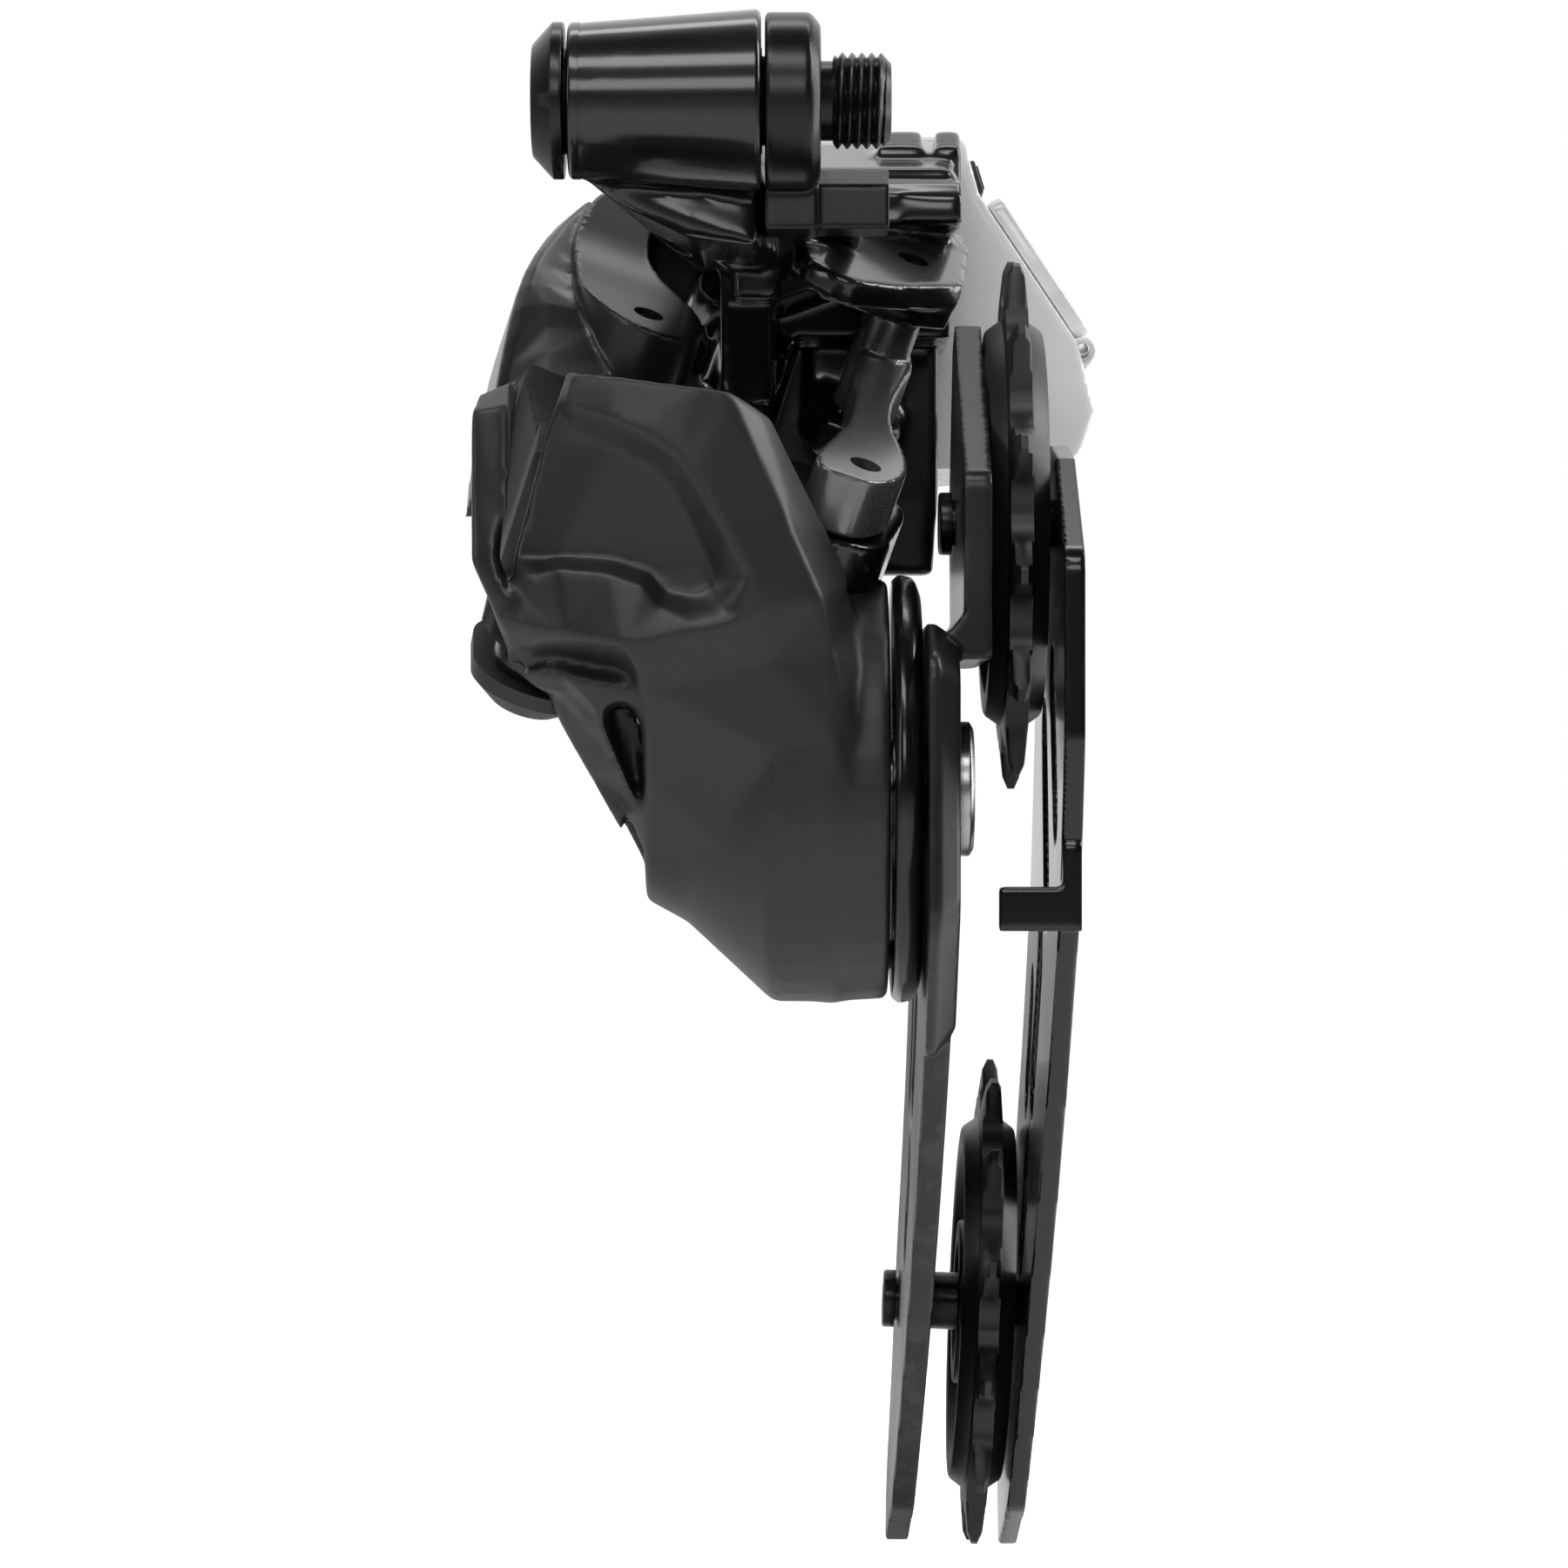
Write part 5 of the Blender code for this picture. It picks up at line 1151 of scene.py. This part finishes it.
def make_battery():
    housing = cad_copy("housing_shell", "battery_housing")
    fuse(housing, (), 0.36, 3)
    # Its near-white colour is a painted reflection of the white surroundings
    place(housing, "bracket", "housing", "battery_housing")
    door = shape("door_panel", lambda bm: prism(
        bm, rectangle(27.4, 18.4, 1.6), slant_frame() @ Matrix.Translation((0, -0.3, 0)), 0.3, 2.1))
    soften(door, 0.35)
    door_barrel = shape("door_barrel", lambda bm: ring(bm, hinge_frame(), -12.9, 12.9, 0.75, 1.6, 0.2, 32))
    # The door's light grey is a painted reflection of the white surroundings
    for piece in (door_barrel, door):
        place(piece, "door", "door", "battery_door")
    seal = shape("door_seal_visual", lambda bm: prism(bm, rectangle(25.8, 16.6, 2.4), slant_frame(), -1,
            0.05))
    cut(seal, lambda bm: prism(bm, rectangle(24.2, 15.2, 2), slant_frame(), -3, 3))
    place(seal, "bracket", "rubber", "door_seal")
    pack = shape("battery_pack", lambda bm: prism(bm, rectangle(23.4, 14.4, 1.8), slant_frame(), -13.2,
            -0.2))
    soften(pack, 0.5)
    place(pack, "bracket", "battery", "battery")
    pin = shape("door_pin", lambda bm: rod(bm, hinge_frame(), -15, 15, 0.7, 24, 0.15))
    place(pin, "bracket", "bright", "door_hinge_pin")
    latch = shape("latch_slider", lambda bm: prism(bm, rectangle(7, 4, 0.8), facet_frame(), 0.3, 1.5))
    soften(latch, 0.25)
    join(latch, lambda bm: prism(bm, rectangle(4.6, 1.6, 0.3), facet_frame(), -1.9, 0.6))
    for i in range(3):
        at = facet_frame() @ Matrix.Translation((1.4 * (i - 1), 0, 1.3))
        join(latch, lambda bm: prism(bm, rectangle(0.5, 2.8, 0.2), at, -0.3, 0.5))
    place(latch, "latch", "polymer", "door_latch")
    button_line = [(-2.3, 0), (-2.3, 3.35, 0.2), (-0.1, 3.35, 0.5), (0.8, 2.6, 0.5), (0.8, 0)]
    button = lathe("button_cap", button_line, rear_frame(2, -12), 64, 5)
    place(button, "button", "rubber", "function_button")
    lens_line = [(-2.1, 0), (-2.1, 1.2), (0.1, 1.2, 0.3), (0.35, 0.7, 0.3), (0.4, 0)]
    lens = lathe("status_lens", lens_line, rear_frame(9.5, -12), 48, 5)
    place(lens, "bracket", "lens", "led_lens")


def make_motor():
    motor = shape("motor_case", lambda bm: hull(bm, block((-11, 41.9, -32.6), (13.2, 51.6, -22))))
    soften(motor, 0.8, 4)
    for i in range(3):
        height = -24.6 - 3 * i
        join(motor, lambda bm: hull(bm, block((-9, 41, height - 0.7), (12.4, 42.4, height + 0.7))))
    soften(motor, 0.2, 2, 60)
    place(motor, "bracket", "gloss", "motor_unit", slot="black_plastic")


# ------------------------------------------------------------------- scene and light


def make_floor():
    bm = bmesh.new()
    turns = [2 * math.pi * i / 64 for i in range(64)]
    rings = [[bm.verts.new(polar(radius, t, FLOOR_HEIGHT)) for t in turns]
             for radius in (0.0001, 400, 1200, 3000)]
    skin_rings(bm, rings)
    floor = mesh_object("floor", bm)
    tree = FINISHES["floor"].node_tree
    shader = tree.nodes["Principled BSDF"]
    shader.inputs["Emission Color"].default_value = (1, 1, 1, 1)
    seen = tree.nodes.new("ShaderNodeLightPath")
    glow = tree.nodes.new("ShaderNodeMapRange")
    for key, value in (("To Min", 0.05), ("To Max", 0.75)):
        glow.inputs[key].default_value = value
    tree.links.new(seen.outputs["Is Camera Ray"], glow.inputs["Value"])
    tree.links.new(glow.outputs["Result"], shader.inputs["Emission Strength"])
    floor.data.materials.append(FINISHES["floor"])


def area_light(name, at, aim, size, power):
    light = bpy.data.lights.new(name, "AREA")
    light.shape = "RECTANGLE"
    light.size, light.size_y = (s * MM for s in size)
    light.energy = power
    made = bpy.data.objects.new(name, light)
    made.location = Vector(at) * MM
    made.rotation_euler = (Vector(aim) - Vector(at)).to_track_quat("-Z", "Y").to_euler()
    bpy.context.scene.collection.objects.link(made)
    return made


def make_world():
    """White behind the object and dim in front of it; the camera itself sees plain white."""
    world = bpy.data.worlds.new("studio")
    bpy.context.scene.world = world
    world.use_nodes = True
    tree = world.node_tree
    tree.nodes.clear()
    add = tree.nodes.new
    coords = add("ShaderNodeTexCoord")
    parts = add("ShaderNodeSeparateXYZ")
    tree.links.new(coords.outputs["Generated"], parts.inputs["Vector"])
    around = add("ShaderNodeMapRange")
    around.interpolation_type = "SMOOTHSTEP"
    for key, value in (("From Min", 0), ("From Max", 0.75), ("To Min", 0.006), ("To Max", 1)):
        around.inputs[key].default_value = value
    tree.links.new(parts.outputs["Y"], around.inputs["Value"])
    soft = add("ShaderNodeBackground")
    tree.links.new(around.outputs["Result"], soft.inputs["Strength"])
    plain = add("ShaderNodeBackground")
    plain.inputs["Strength"].default_value = 1
    for node in (soft, plain):
        node.inputs["Color"].default_value = (1, 1, 1, 1)
    seen = add("ShaderNodeLightPath")
    mix = add("ShaderNodeMixShader")
    tree.links.new(seen.outputs["Is Camera Ray"], mix.inputs["Fac"])
    tree.links.new(soft.outputs["Background"], mix.inputs[1])
    tree.links.new(plain.outputs["Background"], mix.inputs[2])
    out = add("ShaderNodeOutputWorld")
    tree.links.new(mix.outputs["Shader"], out.inputs["Surface"])


def make_camera():
    camera = bpy.data.cameras.new("camera")
    camera.lens = CAMERA_LENS
    camera.sensor_width = 36
    camera.clip_start = 0.01
    camera.clip_end = 20
    made = bpy.data.objects.new("camera", camera)
    made.location = Vector(CAMERA_AT) * MM
    made.rotation_euler = (math.radians(90), 0, 0)
    bpy.context.scene.collection.objects.link(made)
    bpy.context.scene.camera = made


def make_lights():
    """Soft boxes as place, aim, size and watts."""
    make_world()
    area_light("front_box", (-130, -350, 420), (0, 0, -30), (520, 150), 1.5)
    area_light("front_low", (-60, -480, 130), (0, 0, -40), (300, 120), 0.5)
    area_light("left_strip", (-480, -160, 120), (0, 0, -60), (90, 320), 0.35)
    area_light("right_strip", (430, 120, 60), (20, 40, -40), (120, 420), 1)
    area_light("right_front", (380, -20, 240), (24, 60, -30), (90, 300), 1)
    area_light("top_strip", (0, 160, 420), (0, 0, -40), (420, 90), 0.5)


def main():
    make_camera()
    make_lights()
    make_floor()
    for make in (make_hanger_mount, make_bracket, make_bracket_fittings, make_outer_link, make_inner_link,
                 make_knuckle, make_cover, make_knuckle_fittings, make_outer_plate, make_inner_plate,
                 make_cage_fittings, make_pulleys, make_battery, make_motor):
        make()
    bpy.context.scene.view_settings.view_transform = "Standard"


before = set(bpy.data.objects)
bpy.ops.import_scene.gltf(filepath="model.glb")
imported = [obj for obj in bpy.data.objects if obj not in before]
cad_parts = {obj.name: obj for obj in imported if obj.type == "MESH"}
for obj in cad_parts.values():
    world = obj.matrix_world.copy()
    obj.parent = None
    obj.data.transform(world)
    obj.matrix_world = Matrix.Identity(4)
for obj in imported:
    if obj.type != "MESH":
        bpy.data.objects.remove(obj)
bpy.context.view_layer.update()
FINISHES = make_finishes()
main()
